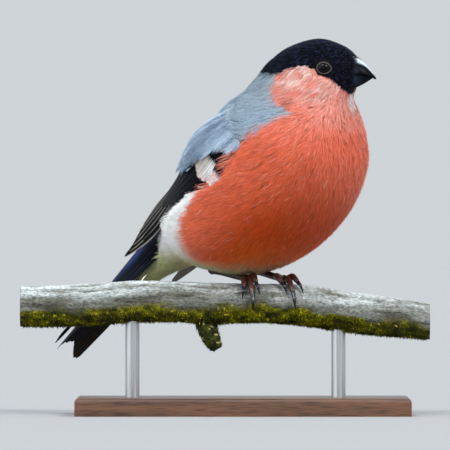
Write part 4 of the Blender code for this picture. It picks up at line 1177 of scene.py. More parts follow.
# From the outermost pair to the middle pair: place across at the root and at the tip, and length,
# of the right and of the left feather, and half width
TAIL_FEATHERS = (
    ((-5.3, -4.7, 64.6), (5.3, 5.8, 66.8), 1.5), ((-4.6, -2.8, 66.2), (4.6, 5.3, 67.2), 1.9),
    ((-3.8, -1.6, 65.8), (3.8, 4.9, 66.4), 2.2), ((-2.9, -0.2, 65.0), (2.9, 4.5, 65.4), 2.4),
    ((-1.9, 1.0, 64.0), (1.9, 4.0, 64.0), 2.6), ((-0.7, 2.2, 62.8), (0.9, 3.5, 62.4), 2.7))
TAIL_EDGE = 7.0
TAIL_FAR_EDGE = 6.2
tail_vanes = []
for order, (right_feather, left_feather, half) in enumerate(TAIL_FEATHERS):
    for hand, (root_across, tip_across, length) in ((-1, right_feather), (1, left_feather)):
        stack = -1.15 + 0.17 * order - (0.05 if hand < 0 else 0.0)
        standing_off = 0.9 if (order, hand) == (0, -1) else 0.0

        def tail_across(u, x):
            return root_across + (tip_across - root_across) * u ** 2.4 + x

        def tail_place(u, x, height):
            distance = 4.0 + (length - 4.0) * u + 0 * x
            across_here = np.clip(tail_across(u, x), -TAIL_EDGE, TAIL_FAR_EDGE)
            arch = tail_arch_at(distance, across_here) * (1 - standing_off * step_between(u, 0.45, 0.95))
            return from_tail_frame(distance, across_here, arch + stack * (1 - 0.5 * u) + height)

        def tail_width(u):
            tip_share = np.clip((u - 0.80) / 0.20, 0, 1)
            return half * (0.7 + 0.3 * np.minimum(u * 3, 1)) * np.maximum(1 - tip_share ** 2.4, 0.02) ** 0.8

        def tail_colour(u, v, x):
            across_share = np.abs(tail_across(u, x)) / TAIL_HALF_WIDTH
            # Painted sheen: a blue band at a fixed distance out from the tail's ridge.
            sheen = np.exp(-((across_share - 0.42) / 0.17) ** 2) * (0.7 + 0.3 * np.sin(u * 23))
            tone = mix(TAIL_DARK, TAIL_SHEEN_BLUE, 0.7 * sheen)
            return mix(tone, paint(40, 46, 60), 0.6 * step_between(np.abs(v), 0.93, 1.0))

        patch = (order / 6 + 0.005, 0.26 * (hand > 0) + 0.005, 1 / 6 - 0.01, 0.24)
        tail_vanes.append(vane(
            tail_place, tail_width, tail_colour, length, patch, order * 2 + hand, TAIL_UNDERSIDE))
join_vanes("tail_feathers", tail_vanes, tail_gloss, "flight_feather", "tail")

# Wings
# Each folded wing is a pile of glossy black vanes over a solid core: seven primaries, five
# secondaries, three tertials, seven greater coverts with the pale bar, six smaller at the wrist.
# A blue sheen is painted in a band along each vane.
WING_BLACK = paint(3, 3, 5)
WING_SHEEN_BLUE = paint(13, 16, 28)
WING_EDGE = paint(156, 148, 130)
WING_UNDERSIDE = paint(124, 118, 110)
BAR_GREY = paint(164, 150, 134)
BAR_WHITE = paint(222, 228, 230)
BAR_BROWN = paint(74, 46, 36)
FEATHER_BEND = 13.0
CORE_ROWS = 46
CORE_GREY = paint(84, 96, 108)
# Root station and edge share, tip station and edge share, half width, height, kind
BAR_TIPS = (0.285, 0.293, 0.305, 0.318, 0.310, 0.298, 0.302)
WING_FEATHERS = [
    *[((0.42, 0.34 + 0.09 * n), (0.80 + 0.033 * n, 0.16 + 0.13 * n), 1.7, -0.55 - 0.10 * n, "primary")
      for n in reversed(range(7))],
    *[((0.24, 0.52 + 0.10 * n), (0.64 - 0.02 * n, 0.60 + 0.085 * n), 2.1, -0.30 - 0.06 * n, "secondary")
      for n in reversed(range(5))],
    *[((0.20, 0.14 + 0.19 * n), (0.63 - 0.05 * n, 0.24 + 0.20 * n), 2.9, -0.3 - 0.10 * n, "tertial")
      for n in reversed(range(3))],
    *[((0.12, 0.60 + 0.062 * n), (BAR_TIPS[n], 0.69 + 0.060 * n), 1.7, 0.0 - 0.04 * n, "bar")
      for n in reversed(range(7))],
    *[((0.04, 0.56 + 0.075 * n), (0.185, 0.66 + 0.062 * n), 1.8, 0.0 - 0.03 * n, "median")
      for n in reversed(range(6))]]
# Share of a feather's length, from its tip back, over which it narrows
TIP_TAPER = {"primary": 0.30, "secondary": 0.14, "tertial": 0.34, "bar": 0.12, "median": 0.3}


def wing_spot(surface, s, a):
    """Points and directions on a wing's outer face, for its station and edge shares."""
    points, normals = surface
    row = np.clip(s * (len(points) - 1), 0, len(points) - 1.001)
    column = np.clip(a * (WING_GRID_COLUMNS - 1), 0, WING_GRID_COLUMNS - 1.001)
    beyond = (a * (WING_GRID_COLUMNS - 1) - column)[..., None]
    i = row.astype(int)
    j = column.astype(int)
    p = (row - i)[..., None]
    q = (column - j)[..., None]
    found = []
    for values in (points, normals):
        found.append(
            (values[i, j] * (1 - q) + values[i, j + 1] * q) * (1 - p)
            + (values[i + 1, j] * (1 - q) + values[i + 1, j + 1] * q) * p)
    across = points[i, j + 1] - points[i, j]
    return found[0] + across * beyond, unit(found[1])


def wing_colour_for(kind, number):
    """Colour over a feather of this kind; its number is its tip's place across the wing."""
    def colour(u, v, x):
        # Painted sheen: a blue band along each vane, just off its middle.
        black_with_sheen = mix(WING_BLACK, WING_SHEEN_BLUE, 0.6 * np.exp(-((v - 0.45) / 0.4) ** 2))
        if kind == "primary":
            rim = step_between(v, 0.70, 0.86) * step_between(u, 0.12, 0.4)
            return mix(black_with_sheen, WING_EDGE, 0.85 * rim)
        if kind in ("bar", "median"):
            fringe = 0.06 * np.sin(x * 9 + 40 * number)
            pale = mix(BAR_GREY, BAR_WHITE, np.interp(number, (0.7, 0.88, 0.95, 1.0), (0.0, 0.35, 0.8, 1.0)))
            start = (0.36 if number < 0.95 else 0.56) if kind == "bar" else 2.0
            tone = mix(black_with_sheen, pale, step_between(u + fringe, start, start + 0.08))
            streak = np.exp(-((v + 0.75) / 0.3) ** 2) * step_between(u, 0.3, 0.7)
            streak = streak * (1.0 if 0.97 < number < 1.02 else 0.3)
            return mix(tone, BAR_BROWN, 0.9 * streak) if kind == "bar" else tone
        return mix(black_with_sheen, paint(78, 84, 92), 0.5 * step_between(v, 0.9, 1.0))
    return colour


wing_gloss = vane_finish("wing_vane_gloss", 0.45)
core_finish = marked_finish("wing_core_black", roughness=0.8, specular=0.2)
for side_name, surface in wings.items():
    points, normals = surface
    edge_fade = np.linspace(-1, 1, WING_GRID_COLUMNS)[None, :, None] ** 8
    core_out = points - normals * 1.15 - normals * 0.4 * edge_fade
    core_in = points - normals * (wing_thick[..., None] - 0.1)
    ring = np.concatenate([core_out, core_in[:, ::-1]], axis=1)[:CORE_ROWS]
    core = closed_tube("wing_core_" + side_name, in_place(ring))
    toward_shoulder = step_between(np.arange(len(ring)) / (len(points) - 1), 0.20, 0.08)
    mark(core, with_ends(mix(WING_BLACK, CORE_GREY, np.repeat(toward_shoulder, ring.shape[1]))))
    fit_out(core, core_finish, "flight_feather", "wing_" + side_name)
    wing_vanes = []
    for number, (root, tip, half, height, kind) in enumerate(WING_FEATHERS):
        def wing_place(u, x, rise):
            s = root[0] + (tip[0] - root[0]) * u
            a = root[1] + (tip[1] - root[1]) * u + 0 * s
            centre, normal = wing_spot(surface, s, a)
            run = np.gradient(centre[:, 0], axis=0)
            sideways = unit(np.cross(run, normal[:, 0]))
            lower_edge = wing_spot(surface, s, a + 0.05)[0][:, 0] - centre[:, 0]
            sideways *= np.sign(np.sum(sideways * lower_edge, axis=1))[:, None]
            settle = 0.45 * u ** 6 if kind in ("tertial", "secondary") else 0.0
            drop = height * (1.0 - 0.25 * u) - settle - x ** 2 / (2 * FEATHER_BEND) + rise
            return centre + sideways[:, None] * x[..., None] + normal * drop[..., None]

        def wing_width(u):
            tip_share = np.clip((u - 1 + TIP_TAPER[kind]) / TIP_TAPER[kind], 0, 1)
            return half * (0.6 + 0.4 * np.minimum(u * 3, 1)) * np.sqrt(np.maximum(1 - tip_share ** 2, 0.003))

        patch = ((number % 7) / 7 + 0.005, (number // 7) / 5 + 0.005, 1 / 7 - 0.01, 1 / 5 - 0.01)
        ends = wing_spot(surface, np.array([tip[0], root[0]]), np.array([tip[1], root[1]]))[0]
        wing_vanes.append(vane(
            wing_place, wing_width, wing_colour_for(kind, tip[1]), np.linalg.norm(ends[:1] - ends[1:]), patch,
            number, WING_UNDERSIDE))
    join_vanes("wing_feathers_" + side_name, wing_vanes, wing_gloss, "flight_feather", "wing_" + side_name)

# Plumage
# Every tuft is a small lock of barbs with one root in the skin. It follows the lie of the
# plumage, away from the bill and down to the tail, rises to the coat's surface and tapers out.
# Its barbs are painted darker toward the root: partly the grey feather bases, partly painted shade.
BILL_CENTRE = turn_with_neck(np.array([[33.0, 0.0, 115.0]]))[0]
BILL_REACH = (5.0, 14.0)
SWEEP_BACK_SHARE = 0.95
# Left edge of the white flank, where wing and tail lie over it: station against degrees
FLANK_LINE = (
    (1.2, 122), (2.4, 112), (2.7, 108), (3.05, 98), (3.75, 89), (4.5, 77), (5.0, 74), (5.9, 75), (6.3, 79))
# What a ground holds at each of its points: place and directions, steps for each mm, cover
SPOT, OUT, LIE, ACROSS = slice(0, 3), slice(3, 6), slice(6, 9), slice(9, 12)
LIE_ROW, LIE_COLUMN, ACROSS_ROW, ACROSS_COLUMN, COVER = range(12, 17)
BARB_POINTS = 4
dice = np.random.default_rng(20)


def in_steps(direction, along, around):
    """A direction on a grid as rows and columns of it for each millimetre."""
    aa = np.sum(along * along, axis=2)
    bb = np.sum(around * around, axis=2)
    ab = np.sum(along * around, axis=2)
    da = np.sum(direction * along, axis=2)
    db = np.sum(direction * around, axis=2)
    spread = np.maximum(aa * bb - ab * ab, 1e-6)
    return np.clip((da * bb - db * ab) / spread, -40, 40), np.clip((db * aa - da * ab) / spread, -60, 60)


def new_ground(surface, out, lie, cover, closed):
    """A grid that tufts grow on: places, the way out, the lie of the coat and what covers it."""
    if closed:
        along, around, _ = grid_frame(surface)
    else:
        along, around = np.gradient(surface, axis=0), np.gradient(surface, axis=1)
    lie = unit(lie - out * np.sum(lie * out, axis=2)[..., None], 1e-9)
    across_lie = np.cross(out, lie)
    steps = [*in_steps(lie, along, around), *in_steps(across_lie, along, around), cover]
    field = np.concatenate([surface, out, lie, across_lie, np.stack(steps, -1)], -1)
    area = np.linalg.norm(np.cross(along, around), axis=2)
    return {"field": field, "area": area, "closed": closed, "rows": len(surface), "columns": surface.shape[1]}


def look_up(ground, row, column):
    """Place, directions and cover between the points of the grid."""
    field = ground["field"]
    row = np.clip(row, 0, ground["rows"] - 1.001)
    low_row = row.astype(int)
    if ground["closed"]:
        low_column = np.floor(column).astype(int)
        left, right = low_column % ground["columns"], (low_column + 1) % ground["columns"]
    else:
        column = np.clip(column, 0, ground["columns"] - 1.001)
        low_column = np.floor(column).astype(int)
        left, right = low_column, low_column + 1
    part_row = (row - low_row)[:, None]
    part_column = (column - low_column)[:, None]
    lower = field[low_row, left] * (1 - part_column) + field[low_row, right] * part_column
    upper = field[low_row + 1, left] * (1 - part_column) + field[low_row + 1, right] * part_column
    return lower * (1 - part_row) + upper * part_row


def scatter(ground, wanted, per_square_mm):
    """Roots spread evenly over the wanted part of a grid."""
    weight = (ground["area"] * wanted).ravel()
    count = int(weight.sum() * per_square_mm)
    edges = np.cumsum(weight)
    even = (np.arange(count) + dice.random(count)) / max(count, 1) * edges[-1]
    cell = np.minimum(np.searchsorted(edges, even), len(weight) - 1)
    row = cell // ground["columns"] + dice.random(count) - 0.5
    column = cell % ground["columns"] + dice.random(count) - 0.5
    return np.clip(row, 0, ground["rows"] - 1.001), column


def set_normals(piece, directions):
    """Shades a piece by the body under it, so that it reads as soft plumage."""
    x, y, z = directions.T
    turned = np.stack([
        x * math.cos(heading) - y * math.sin(heading), x * math.sin(heading) + y * math.cos(heading), z], -1)
    piece.data.normals_split_custom_set_from_vertices(unit(turned, 1e-9).tolist())


# Centre and directions of each eye, once the head has turned
EYES = []
for hand in (1.0, -1.0):
    centre = turn_with_neck(eye_centre(hand))
    EYES.append((centre, *(turn_with_neck(eye_centre(hand) + axis) - centre for axis in eye_axes(hand))))


def eye_share(points):
    """How far points are from the nearer eye: under 1 they would lie over its lids."""
    shares = []
    for centre, ahead, upward, outward_eye in EYES:
        gap = points - centre
        flat = np.sqrt((gap @ ahead / (LID_WIDE * 1.12)) ** 2 + (gap @ upward / (LID_TALL * 1.14)) ** 2)
        shares.append(np.where(gap @ outward_eye > -1.0, flat, 9.0))
    return np.minimum(*shares)


def lay_tufts(name, ground, row, column, colours, length, rise, width, spread, barbs,
              finish, slot, nodes_under, root_shade,
              sway=0.12, start=0.25, fleck=None, fleck_share=0.0, stand_up=0.0):
    """One mesh of tufts: a centre line walked over the ground, and barbs fanned out from it."""
    length = length * (0.8 + 0.4 * dice.random(len(row)))
    turn = dice.normal(0.0, sway, len(row))
    places = []
    walk_row, walk_column = row, column
    past_end = np.zeros(len(row))
    last_row = ground["rows"] - 1.001
    for step in range(BARB_POINTS):
        spot = look_up(ground, walk_row, walk_column)
        spot[:, SPOT] += spot[:, LIE] * past_end[:, None]
        places.append(spot)
        pace = length / (BARB_POINTS - 1)
        next_row = walk_row + pace * (spot[:, LIE_ROW] * np.cos(turn) + spot[:, ACROSS_ROW] * np.sin(turn))
        past_end += np.where((next_row < 0) | (next_row > last_row), pace, 0.0)
        walk_row = np.clip(next_row, 0, last_row)
        walk_column = walk_column + pace * (
            spot[:, LIE_COLUMN] * np.cos(turn) + spot[:, ACROSS_COLUMN] * np.sin(turn))
    places = np.stack(places, 1)
    clear = np.min(eye_share(places[..., SPOT]), axis=1) > 1.0
    places, row, column, colours = places[clear], row[clear], column[clear], colours[clear]
    length, rise, width, spread, start = (
        np.broadcast_to(value, clear.shape)[clear][:, None, None]
        for value in (length, rise, width, spread, start))
    count = len(row)
    share = np.linspace(0.0, 1.0, BARB_POINTS)
    fan = np.linspace(-1.0, 1.0, barbs)[None] + dice.normal(0, 0.25, (count, barbs))
    reach = 1.0 - 0.28 * np.abs(fan) ** 1.5 - 0.25 * dice.random((count, barbs))
    height = start + rise * (share[None, :, None] ** 0.8) * (0.75 + 0.5 * dice.random((count, 1, barbs)))
    height = height + stand_up * share[None, :, None] ** 2 * dice.random((count, 1, barbs))
    over = places[..., COVER][..., None]
    height = np.where(over > 0.2, np.maximum(over + 0.15 + 0.4 * height, height), height)
    sideways = fan[:, None] * spread * (0.25 + 0.75 * share[None, :, None])
    sideways = sideways + dice.normal(0, 0.10, (count, 1, barbs)) * length * share[None, :, None] ** 2
    step_back = (1.0 - reach)[:, None] * length * share[None, :, None]
    centre = places[:, :, None, SPOT] + places[:, :, None, ACROSS] * sideways[..., None]
    centre = centre + places[:, :, None, OUT] * height[..., None]
    centre = centre - places[:, :, None, LIE] * step_back[..., None]
    taper = width * np.array([0.8, *np.linspace(1.0, 0.55, BARB_POINTS - 2), 0.0])[None, :, None]
    twist = dice.normal(0, 0.35, (count, 1, barbs))
    edge = places[:, :, None, ACROSS] * np.cos(twist)[..., None]
    edge = edge + places[:, :, None, OUT] * np.sin(twist)[..., None]
    half = edge * taper[..., None] / 2
    both = np.stack([(centre - half)[:, :-1], (centre + half)[:, :-1]], 3)
    both = both.transpose(0, 2, 1, 3, 4).reshape(count * barbs, (BARB_POINTS - 1) * 2, 3)
    every = np.concatenate([both, centre[:, -1].reshape(count * barbs, 1, 3)], 1)
    size = every.shape[1]
    ribbon = []
    for step in range(BARB_POINTS - 2):
        a = 2 * step
        ribbon += [(a, a + 3, a + 1), (a, a + 2, a + 3)]
    ribbon.append((size - 3, size - 1, size - 2))
    piece = mesh_piece(name, in_place(every.reshape(-1, 3)), repeated(ribbon, size, count * barbs))

    tone = dice.normal(1.0, 0.07, (count, 1, 1)) * dice.normal(1.0, 0.09, (count, barbs, 1))
    # Painted shade: barbs darken toward the root, partly also for the grey bases of the feathers.
    shade = np.concatenate([np.repeat(share[:-1], 2), share[-1:]])
    shade = root_shade + (1 - root_shade) * shade ** 0.7
    painted = np.broadcast_to(colours[:, None, :], (count, barbs, 3))
    if fleck is not None:
        painted = mix(painted, fleck, 0.45 * (dice.random((count, barbs)) < fleck_share))
    painted = painted[:, :, None, :] * (tone * shade[None, None, :])[..., None]
    mark(piece, np.clip(painted, 0, 1).reshape(-1, 3))
    local = np.stack([
        np.repeat(fan[:, :, None], size, 2) * 0.35,
        np.broadcast_to(shade[None, None], (count, barbs, size)) - 0.75], -1)
    root_map = unwrap(row, column, ground)[:, None, None]
    bake_map(piece, (root_map + np.clip(local, -0.5, 0.5) * 0.003).reshape(-1, 2))
    lean = (0.25 * fan + 0.35 * np.sin(twist[:, 0]))[:, None, :, None]
    soft = places[:, :, None, OUT] + places[:, :, None, ACROSS] * lean + places[:, :, None, LIE] * 0.12
    soft = soft.transpose(0, 2, 1, 3).reshape(count * barbs, BARB_POINTS, 3)
    order = np.array([*np.repeat(np.arange(BARB_POINTS - 1), 2), BARB_POINTS - 1])
    set_normals(piece, soft[:, order].reshape(-1, 3))
    fit_out(piece, finish, slot, *nodes_under)


def plumage(name, roughness, sheen, specular):
    finish = marked_finish(name, roughness=roughness, sheen=sheen, specular=specular)
    shader_of(finish).inputs["Sheen Roughness"].default_value = 0.5
    return finish


along = grid_frame(skin_grid)[0]
smooth_out = grid_frame(outline)[2]
from_bill = skin_grid - BILL_CENTRE
bill_distance = np.linalg.norm(from_bill, axis=2)
from_bill /= bill_distance[..., None] + 1e-9
lie = unit(-along, 1e-9)
stations = row_index / BODY_STEPS
degrees_off = np.abs(grid_degrees)
flank_sweep = step_between(stations, 3.6, 5.5) * step_between(stations, 11.2, 9.6)
flank_sweep = flank_sweep * step_between(degrees_off, 45, 80) * step_between(degrees_off, 172, 130)
lie = lie + np.array((-1.0, 0.0, 0.0)) * (SWEEP_BACK_SHARE * flank_sweep)[..., None]
lie = mix(from_bill, unit(lie), step_between(bill_distance, *BILL_REACH))
flank_edge = np.interp(stations, *zip(*FLANK_LINE))
beside_wing = (degrees_off > flank_edge) | (stations > 6.3)
tucked = (stations < 2.95) & (degrees_off > 85)
body = new_ground(skin_grid, smooth_out, lie, cover * beside_wing * ~tucked, True)
below_tail = new_ground(skin_grid, smooth_out, lie, 0 * cover, True)
wing_grounds = {}
for side_name, (points, normals) in wings.items():
    run = np.gradient(points, axis=0)
    wing_grounds[side_name] = new_ground(points, normals, run, np.zeros(points.shape[:2]), False)

soft_red = plumage("red_coat", 0.85, 0.1, 0.15)
soft_grey = plumage("grey_coat", 0.85, 0.1, 0.15)
soft_white = plumage("white_coat", 0.9, 0.05, 0.15)
glossy_black = plumage("black_coat", 0.55, 0.07, 0.04)
shader_of(glossy_black).inputs["Sheen Tint"].default_value = (0.45, 0.58, 1.0, 1.0)

tract = grid_tract.reshape(skin_grid.shape[:2])
bare = (under_tail & (degrees_off < flank_edge)) | ((stations < 2.85) & (degrees_off < flank_edge + 1))
edge_band = (wing_gap < 2.2) & (stations > 6.2) & (stations < 8.05) & (degrees_off > 80)
lifted = (cover > 2.6) & (stations < 3.3) & (degrees_off > 74)
off_bill = (bill_round > 1.02) | (stations < 11.0) | (bill_distance > 13)
open_skin = (under_wing < 0.5) & ~edge_band & ~lifted & off_bill & ~bare
HALVES = {"left": grid_degrees > 0, "right": grid_degrees <= 0}
WHITE_BARB = paint(250, 226, 216)
# Painted sheen: bluish barbs scattered over the black coats.
BLUE_SHEEN_BARB = paint(70, 84, 124)
# How dark each coat is painted at the roots: partly grey feather bases, partly painted shade.
ROOT_SHADE = {"red_coat": 0.7, "grey_coat": 0.74, "white_coat": 0.93, "black_coat": 0.7}


def coat_colours(row, column, found, length):
    """The markings half way along each tuft, where it shows."""
    row = np.clip(row + 0.5 * length * found[:, LIE_ROW], 0, len(rows) - 1.001)
    column = column + 0.5 * length * found[:, LIE_COLUMN]
    degrees = (column * 360.0 / BODY_COLUMNS + 180.0) % 360.0 - 180.0
    return marking_at(row / BODY_STEPS, degrees, look_up(body, row, column)[:, SPOT])[0]


# Piece, tract, finish, slot, node, tufts per square mm, length, width, spread, barbs, share of flecks
TRACTS = (
    ("coat_cap", "cap", glossy_black, "black_plumage", "head", 3.6, 2.3, 0.17, 0.34, 5, 0.12),
    ("coat_cheek", "cheek", soft_red, "breast_plumage", "neck", 2.6, 4.4, 0.14, 0.42, 7, 0.14),
    ("coat_mantle", "grey", soft_grey, "grey_plumage", "neck", 1.7, 4.6, 0.22, 0.8, 7, 0.0),
    ("coat_breast_left", "breast", soft_red, "breast_plumage", "trunk", 1.4, 5.6, 0.22, 0.8, 8, 0.03),
    ("coat_breast_right", "breast", soft_red, "breast_plumage", "trunk", 1.4, 5.6, 0.22, 0.8, 8, 0.03),
    ("coat_belly_left", "belly", soft_red, "breast_plumage", "trunk", 1.4, 5.8, 0.22, 0.9, 8, 0.012),
    ("coat_belly_right", "belly", soft_red, "breast_plumage", "trunk", 1.4, 5.8, 0.22, 0.9, 8, 0.012),
    ("coat_rump", "white", soft_white, "breast_plumage", "trunk", 1.5, 5.2, 0.22, 0.9, 8, 0.0),
    ("coat_uppertail", "uppertail", glossy_black, "black_plumage", "trunk", 2.0, 7.5, 0.24, 0.8, 7, 0.06),
    ("coat_undertail", "undertail", soft_white, "breast_plumage", "trunk", 1.6, 6.0, 0.22, 0.7, 7, 0.0))
for name, kind, finish, slot, node, density, length, width, spread, barbs, flecks in TRACTS:
    half = HALVES.get(name.split("_")[-1], True)
    row, column = scatter(body, (tract == kind) & half & open_skin, density)
    found = look_up(body, row, column)
    spots = found[:, SPOT]
    rise = np.interp(row / BODY_STEPS, COAT_STATIONS, COAT_DEPTHS) * 0.8
    off_centre = np.linalg.norm(spots - BILL_CENTRE, axis=1)
    size = np.interp(off_centre, (4.4, 8.0, 16.0, 26.0), (0.42, 0.6, 0.85, 1.0))
    size = size * np.interp(eye_share(spots), (1.0, 1.6, 2.6), (0.35, 0.6, 1.0))
    colours = coat_colours(row, column, found, length * size)
    lay_tufts(
        name, below_tail if kind == "undertail" else body, row, column, colours, length * size,
        rise * size, width * np.sqrt(size), spread * size, barbs, finish, slot, (node,),
        ROOT_SHADE[finish.name], start=0.25 * size ** 1.5,
        fleck=BLUE_SHEEN_BARB if finish == glossy_black else WHITE_BARB, fleck_share=flecks)

# Flank fringe
# Long, thin, single barbs at the edge of the breast and flank, swept back over the folded wing
# and the side of the tail, with dark gaps between them.
fringe_zone = (wing_gap < 2.4) & beside_wing & (stations > 5.9) & (stations < 9.6) & (degrees_off > 66)
FRINGE_PALE = paint(250, 190, 176)
white_zone = (degrees_off > flank_edge) & (degrees_off < flank_edge + 9) & (stations > 3.0) & (stations < 6.4)
for name, zone, finish, density in (
        ("coat_fringe_red", fringe_zone, soft_red, 1.1), ("coat_fringe_white", white_zone, soft_white, 0.9)):
    row, column = scatter(body, zone & (under_wing < 0.5) & ~bare & ~lifted & (tract != "grey"), density)
    found = look_up(body, row, column)
    colours = coat_colours(row, column, found, np.full(len(row), 4.0))
    colours = mix(colours, FRINGE_PALE, 0.4 * dice.random(len(row)))
    lay_tufts(
        name, body, row, column, colours, 8.2, 1.1, 0.13, 0.6, 3, finish, "breast_plumage", ("trunk",), 0.85,
        sway=0.22, stand_up=0.5)

# Scapulars and lesser coverts
# Grey feathers that grow from the shoulder and lie over the upper part of the folded wing. They
# end in lobes over the black coverts, and leave a black gap beside the breast. Their grey is
# painted lighter toward the back as painted light, and lighter and darker in streaks, partly
# painted shade in the furrows between them, with random tone on top.
# Their lower edge: share along the wing against share across it
SCAPULAR_EDGE = (
    (0, 1.1), (0.05, 1.1), (0.085, 1.0), (0.113, 0.96), (0.13, 0.92), (0.145, 0.86), (0.155, 0.75),
    (0.18, 0.77), (0.212, 0.76), (0.24, 0.74), (0.283, 0.72), (0.318, 0.70), (0.375, 0.67),
    (0.425, 0.61), (0.45, 0.45), (0.46, 0.0), (0.47, -1.0))
SCAPULAR_PALE = paint(186, 208, 226)
SCAPULAR_DEEP = paint(112, 134, 156)
for side_name, ground in wing_grounds.items():
    last_row, last_column = ground["rows"] - 1, ground["columns"] - 1
    along_wing = np.linspace(0, 1, ground["rows"])[:, None]
    row, column = scatter(ground, along_wing < 0.46, 2.2)
    spots = look_up(ground, row, column)
    length = np.interp(row / last_row, (0.0, 0.1, 0.3), (3.6, 4.6, 6.2))
    tip_share = (row + length * spots[:, LIE_ROW]) / last_row
    ragged = 0.05 * grain(spots[:, SPOT], 1.6, 71)
    kept = column / last_column + ragged < np.interp(tip_share, *zip(*SCAPULAR_EDGE))
    row, column, spots, length = row[kept], column[kept], spots[kept], length[kept]
    # Painted light and shade: lighter toward the wing's back edge, darker in furrow-like streaks, with random
    # tone.
    streak = grain(np.stack([row * 0.06, column * 0.55, 0 * row], -1), 1.0, 72)
    painted_light_at_back = step_between(column / last_column, 0.4, 0.05)
    painted_light = 0.62 + 0.3 * grain(spots[:, SPOT], 3.0, 70) + 0.8 * streak + 0.4 * painted_light_at_back
    colours = mix(SCAPULAR_DEEP, SCAPULAR_PALE, np.clip(painted_light, 0.0, 1.1))
    lay_tufts(
        "coat_scapular_" + side_name, ground, row, column, colours, length, 0.7, 0.2, 0.75, 8,
        soft_grey, "grey_plumage", ("wing_" + side_name,), 0.74, start=0.3)

# Moss
# Short olive moss stands off the lower half of the branch and the stub as a dense, uneven pile,
# and one pale splinter of torn bark stands on top.
MOSS_SPRIGS = 24000
MOSS_LENGTH = (0.3, 0.85)
MOSS_WIDTH = 0.2
MOSS_TINT = (1.4, 1.5, 0.5)
# Brightness of a sprig's five points: two at the root, two half way, one at the tip
TOWARD_TIP = (0.8, 0.8, 1.3, 1.3, 1.9)
SPLINTER = ((-28.1, 44.4), (-27.75, 45.2), (-27.3, 45.9), (-26.8, 46.5), (-26.2, 47.0))
moss_dice = np.random.default_rng(31)
ring_out = np.stack([0 * height_share, ring_y.ravel(), height_share], -1)
off_ends = np.abs(x).ravel() < np.abs(x).max() - 1.0
stub_out = unit(stub_flat - stub_middle, 1e-9)
sprig_roots = np.vstack([branch_points.reshape(-1, 3), stub_flat])
sprig_out = np.vstack([ring_out, stub_out])
sprig_tones = np.vstack([mossy, 0.55 * stub_colour])
chance = np.concatenate([moss_side ** 2 * off_ends, np.full(len(stub_flat), 0.8)])
edges = np.cumsum(chance)
chosen = np.searchsorted(edges, moss_dice.random(MOSS_SPRIGS) * edges[-1])
root = sprig_roots[chosen] + moss_dice.normal(0, 0.14, (MOSS_SPRIGS, 3))
out = unit(sprig_out[chosen] + moss_dice.normal(0, 0.55, (MOSS_SPRIGS, 3)))
reach = (MOSS_LENGTH[0] + (MOSS_LENGTH[1] - MOSS_LENGTH[0]) * moss_dice.random(MOSS_SPRIGS) ** 2)[:, None]
bend = moss_dice.normal(0, 0.2, (MOSS_SPRIGS, 3)) + (0.0, 0.0, -0.12)
side = np.cross(out, moss_dice.normal(0, 1, (MOSS_SPRIGS, 3)))
side *= MOSS_WIDTH / 2 / (np.linalg.norm(side, axis=1)[:, None] + 1e-9)
middle = root + out * reach * 0.55
sprigs = np.stack([
    root - side - out * 0.1, root + side - out * 0.1, middle - side, middle + side,
    root + out * reach + bend * reach], 1)
moss = mesh_piece("branch_moss", sprigs.reshape(-1, 3) * MM, repeated(BLADE_FACES, 5, MOSS_SPRIGS))
brightness = moss_dice.normal(1.0, 0.25, MOSS_SPRIGS)[:, None] * TOWARD_TIP
tone = sprig_tones[chosen][:, None] * brightness[..., None] * MOSS_TINT
mark(moss, np.clip(tone, 0.002, 1).reshape(-1, 3))
moss_map = np.stack([
    0.02 + 0.96 * chosen / len(sprig_roots), 0.02 + 0.96 * moss_dice.random(MOSS_SPRIGS)], -1)
bake_map(moss, np.repeat(moss_map, 5, axis=0))
moss_green = marked_finish("moss_sprigs", roughness=0.9, specular=0.1)
fit_out(moss, moss_green, "bark", "perch")
splinter_path = [(px, BRANCH_Y - 1.0, pz) for px, pz in SPLINTER]
splinter_rings = swept_rings(splinter_path, (0.42, 0.36, 0.28, 0.18, 0.05), 10, squash=0.6)
splinter = closed_tube("branch_splinter", splinter_rings * MM)
mark(splinter, np.tile(paint(226, 222, 206), (len(splinter.data.vertices), 1)))
fit_out(splinter, bark, "bark", "perch")

# Floor
# A plain matt floor, pale grey, that runs out to a sky of nearly its own tone. It only shows
# the display off and is no part of it.
FLOOR_REACH = 14.0
FLOOR_TONE = paint(160, 160, 160)
bpy.ops.mesh.primitive_circle_add(vertices=96, radius=FLOOR_REACH, fill_type="NGON")
floor = bpy.context.object
floor.name = "floor"
floor_paint = new_finish("pale_floor", roughness=0.95, specular=0.05)
shader_of(floor_paint).inputs["Base Color"].default_value = (*FLOOR_TONE, 1.0)
floor.data.materials.append(floor_paint)

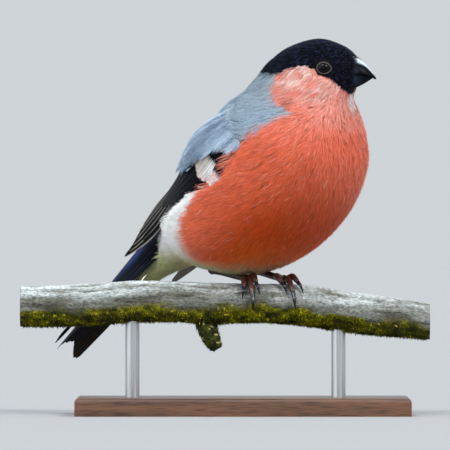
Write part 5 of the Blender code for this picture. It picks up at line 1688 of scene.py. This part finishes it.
# Light
# A soft key above and to the right of the camera, a second one from the upper left, a wide fill
# from the left, and a sky that is brightest overhead.
# Name, direction it comes from, strength, softness in degrees, tint
LIGHTS = (
    ("key_light", (0.56, -0.61, 0.56), 2.4, 14.0, (1.0, 0.98, 0.94)),
    ("left_light", (-0.27, -0.62, 0.72), 1.5, 12.0, (0.95, 0.98, 1.0)),
    ("fill_light", (-0.85, -0.45, 0.35), 1.1, 60.0, (0.95, 0.98, 1.0)))
SKY_LOW = (0.62, 0.655, 0.68)
SKY_HIGH = (0.98, 1.08, 1.22)
for name, source, strength, softness, tint in LIGHTS:
    light = bpy.data.lights.new(name, "SUN")
    light.energy = strength
    light.angle = math.radians(softness)
    light.color = tint
    lamp = bpy.data.objects.new(name, light)
    lamp.location = Vector(source)
    lamp.rotation_euler = (-Vector(source)).to_track_quat("-Z", "Y").to_euler()
    bpy.context.scene.collection.objects.link(lamp)
world = bpy.data.worlds.new("studio")
bpy.context.scene.world = world
world.use_nodes = True
nodes, links = world.node_tree.nodes, world.node_tree.links
direction = nodes.new("ShaderNodeTexCoord")
split = nodes.new("ShaderNodeSeparateXYZ")
links.new(direction.outputs["Generated"], split.inputs["Vector"])
sky = ramp_of(world, split.outputs["Z"], ((0.05, SKY_LOW), (0.9, SKY_HIGH)))
links.new(sky, nodes["Background"].inputs["Color"])
bpy.context.scene.view_settings.view_transform = "Standard"

# Camera
# The camera stands level with the branch and square to it, and looks through a long lens, so
# that the picture has the photo's frame.
CAMERA_DISTANCE = 4.0
PICTURE_WIDTH = 150.75 * MM
PICTURE_MIDDLE_Z = 63.65 * MM
camera_data = bpy.data.cameras.new("camera")
camera_data.sensor_width = 36.0
camera_data.lens = 36.0 * CAMERA_DISTANCE / PICTURE_WIDTH
camera_data.clip_start = 0.05
camera_data.clip_end = 40.0
camera = bpy.data.objects.new("camera", camera_data)
camera.location = (0.0, BRANCH_Y * MM - CAMERA_DISTANCE, PICTURE_MIDDLE_Z)
camera.rotation_euler = (math.pi / 2, 0.0, 0.0)
bpy.context.scene.collection.objects.link(camera)
bpy.context.scene.camera = camera
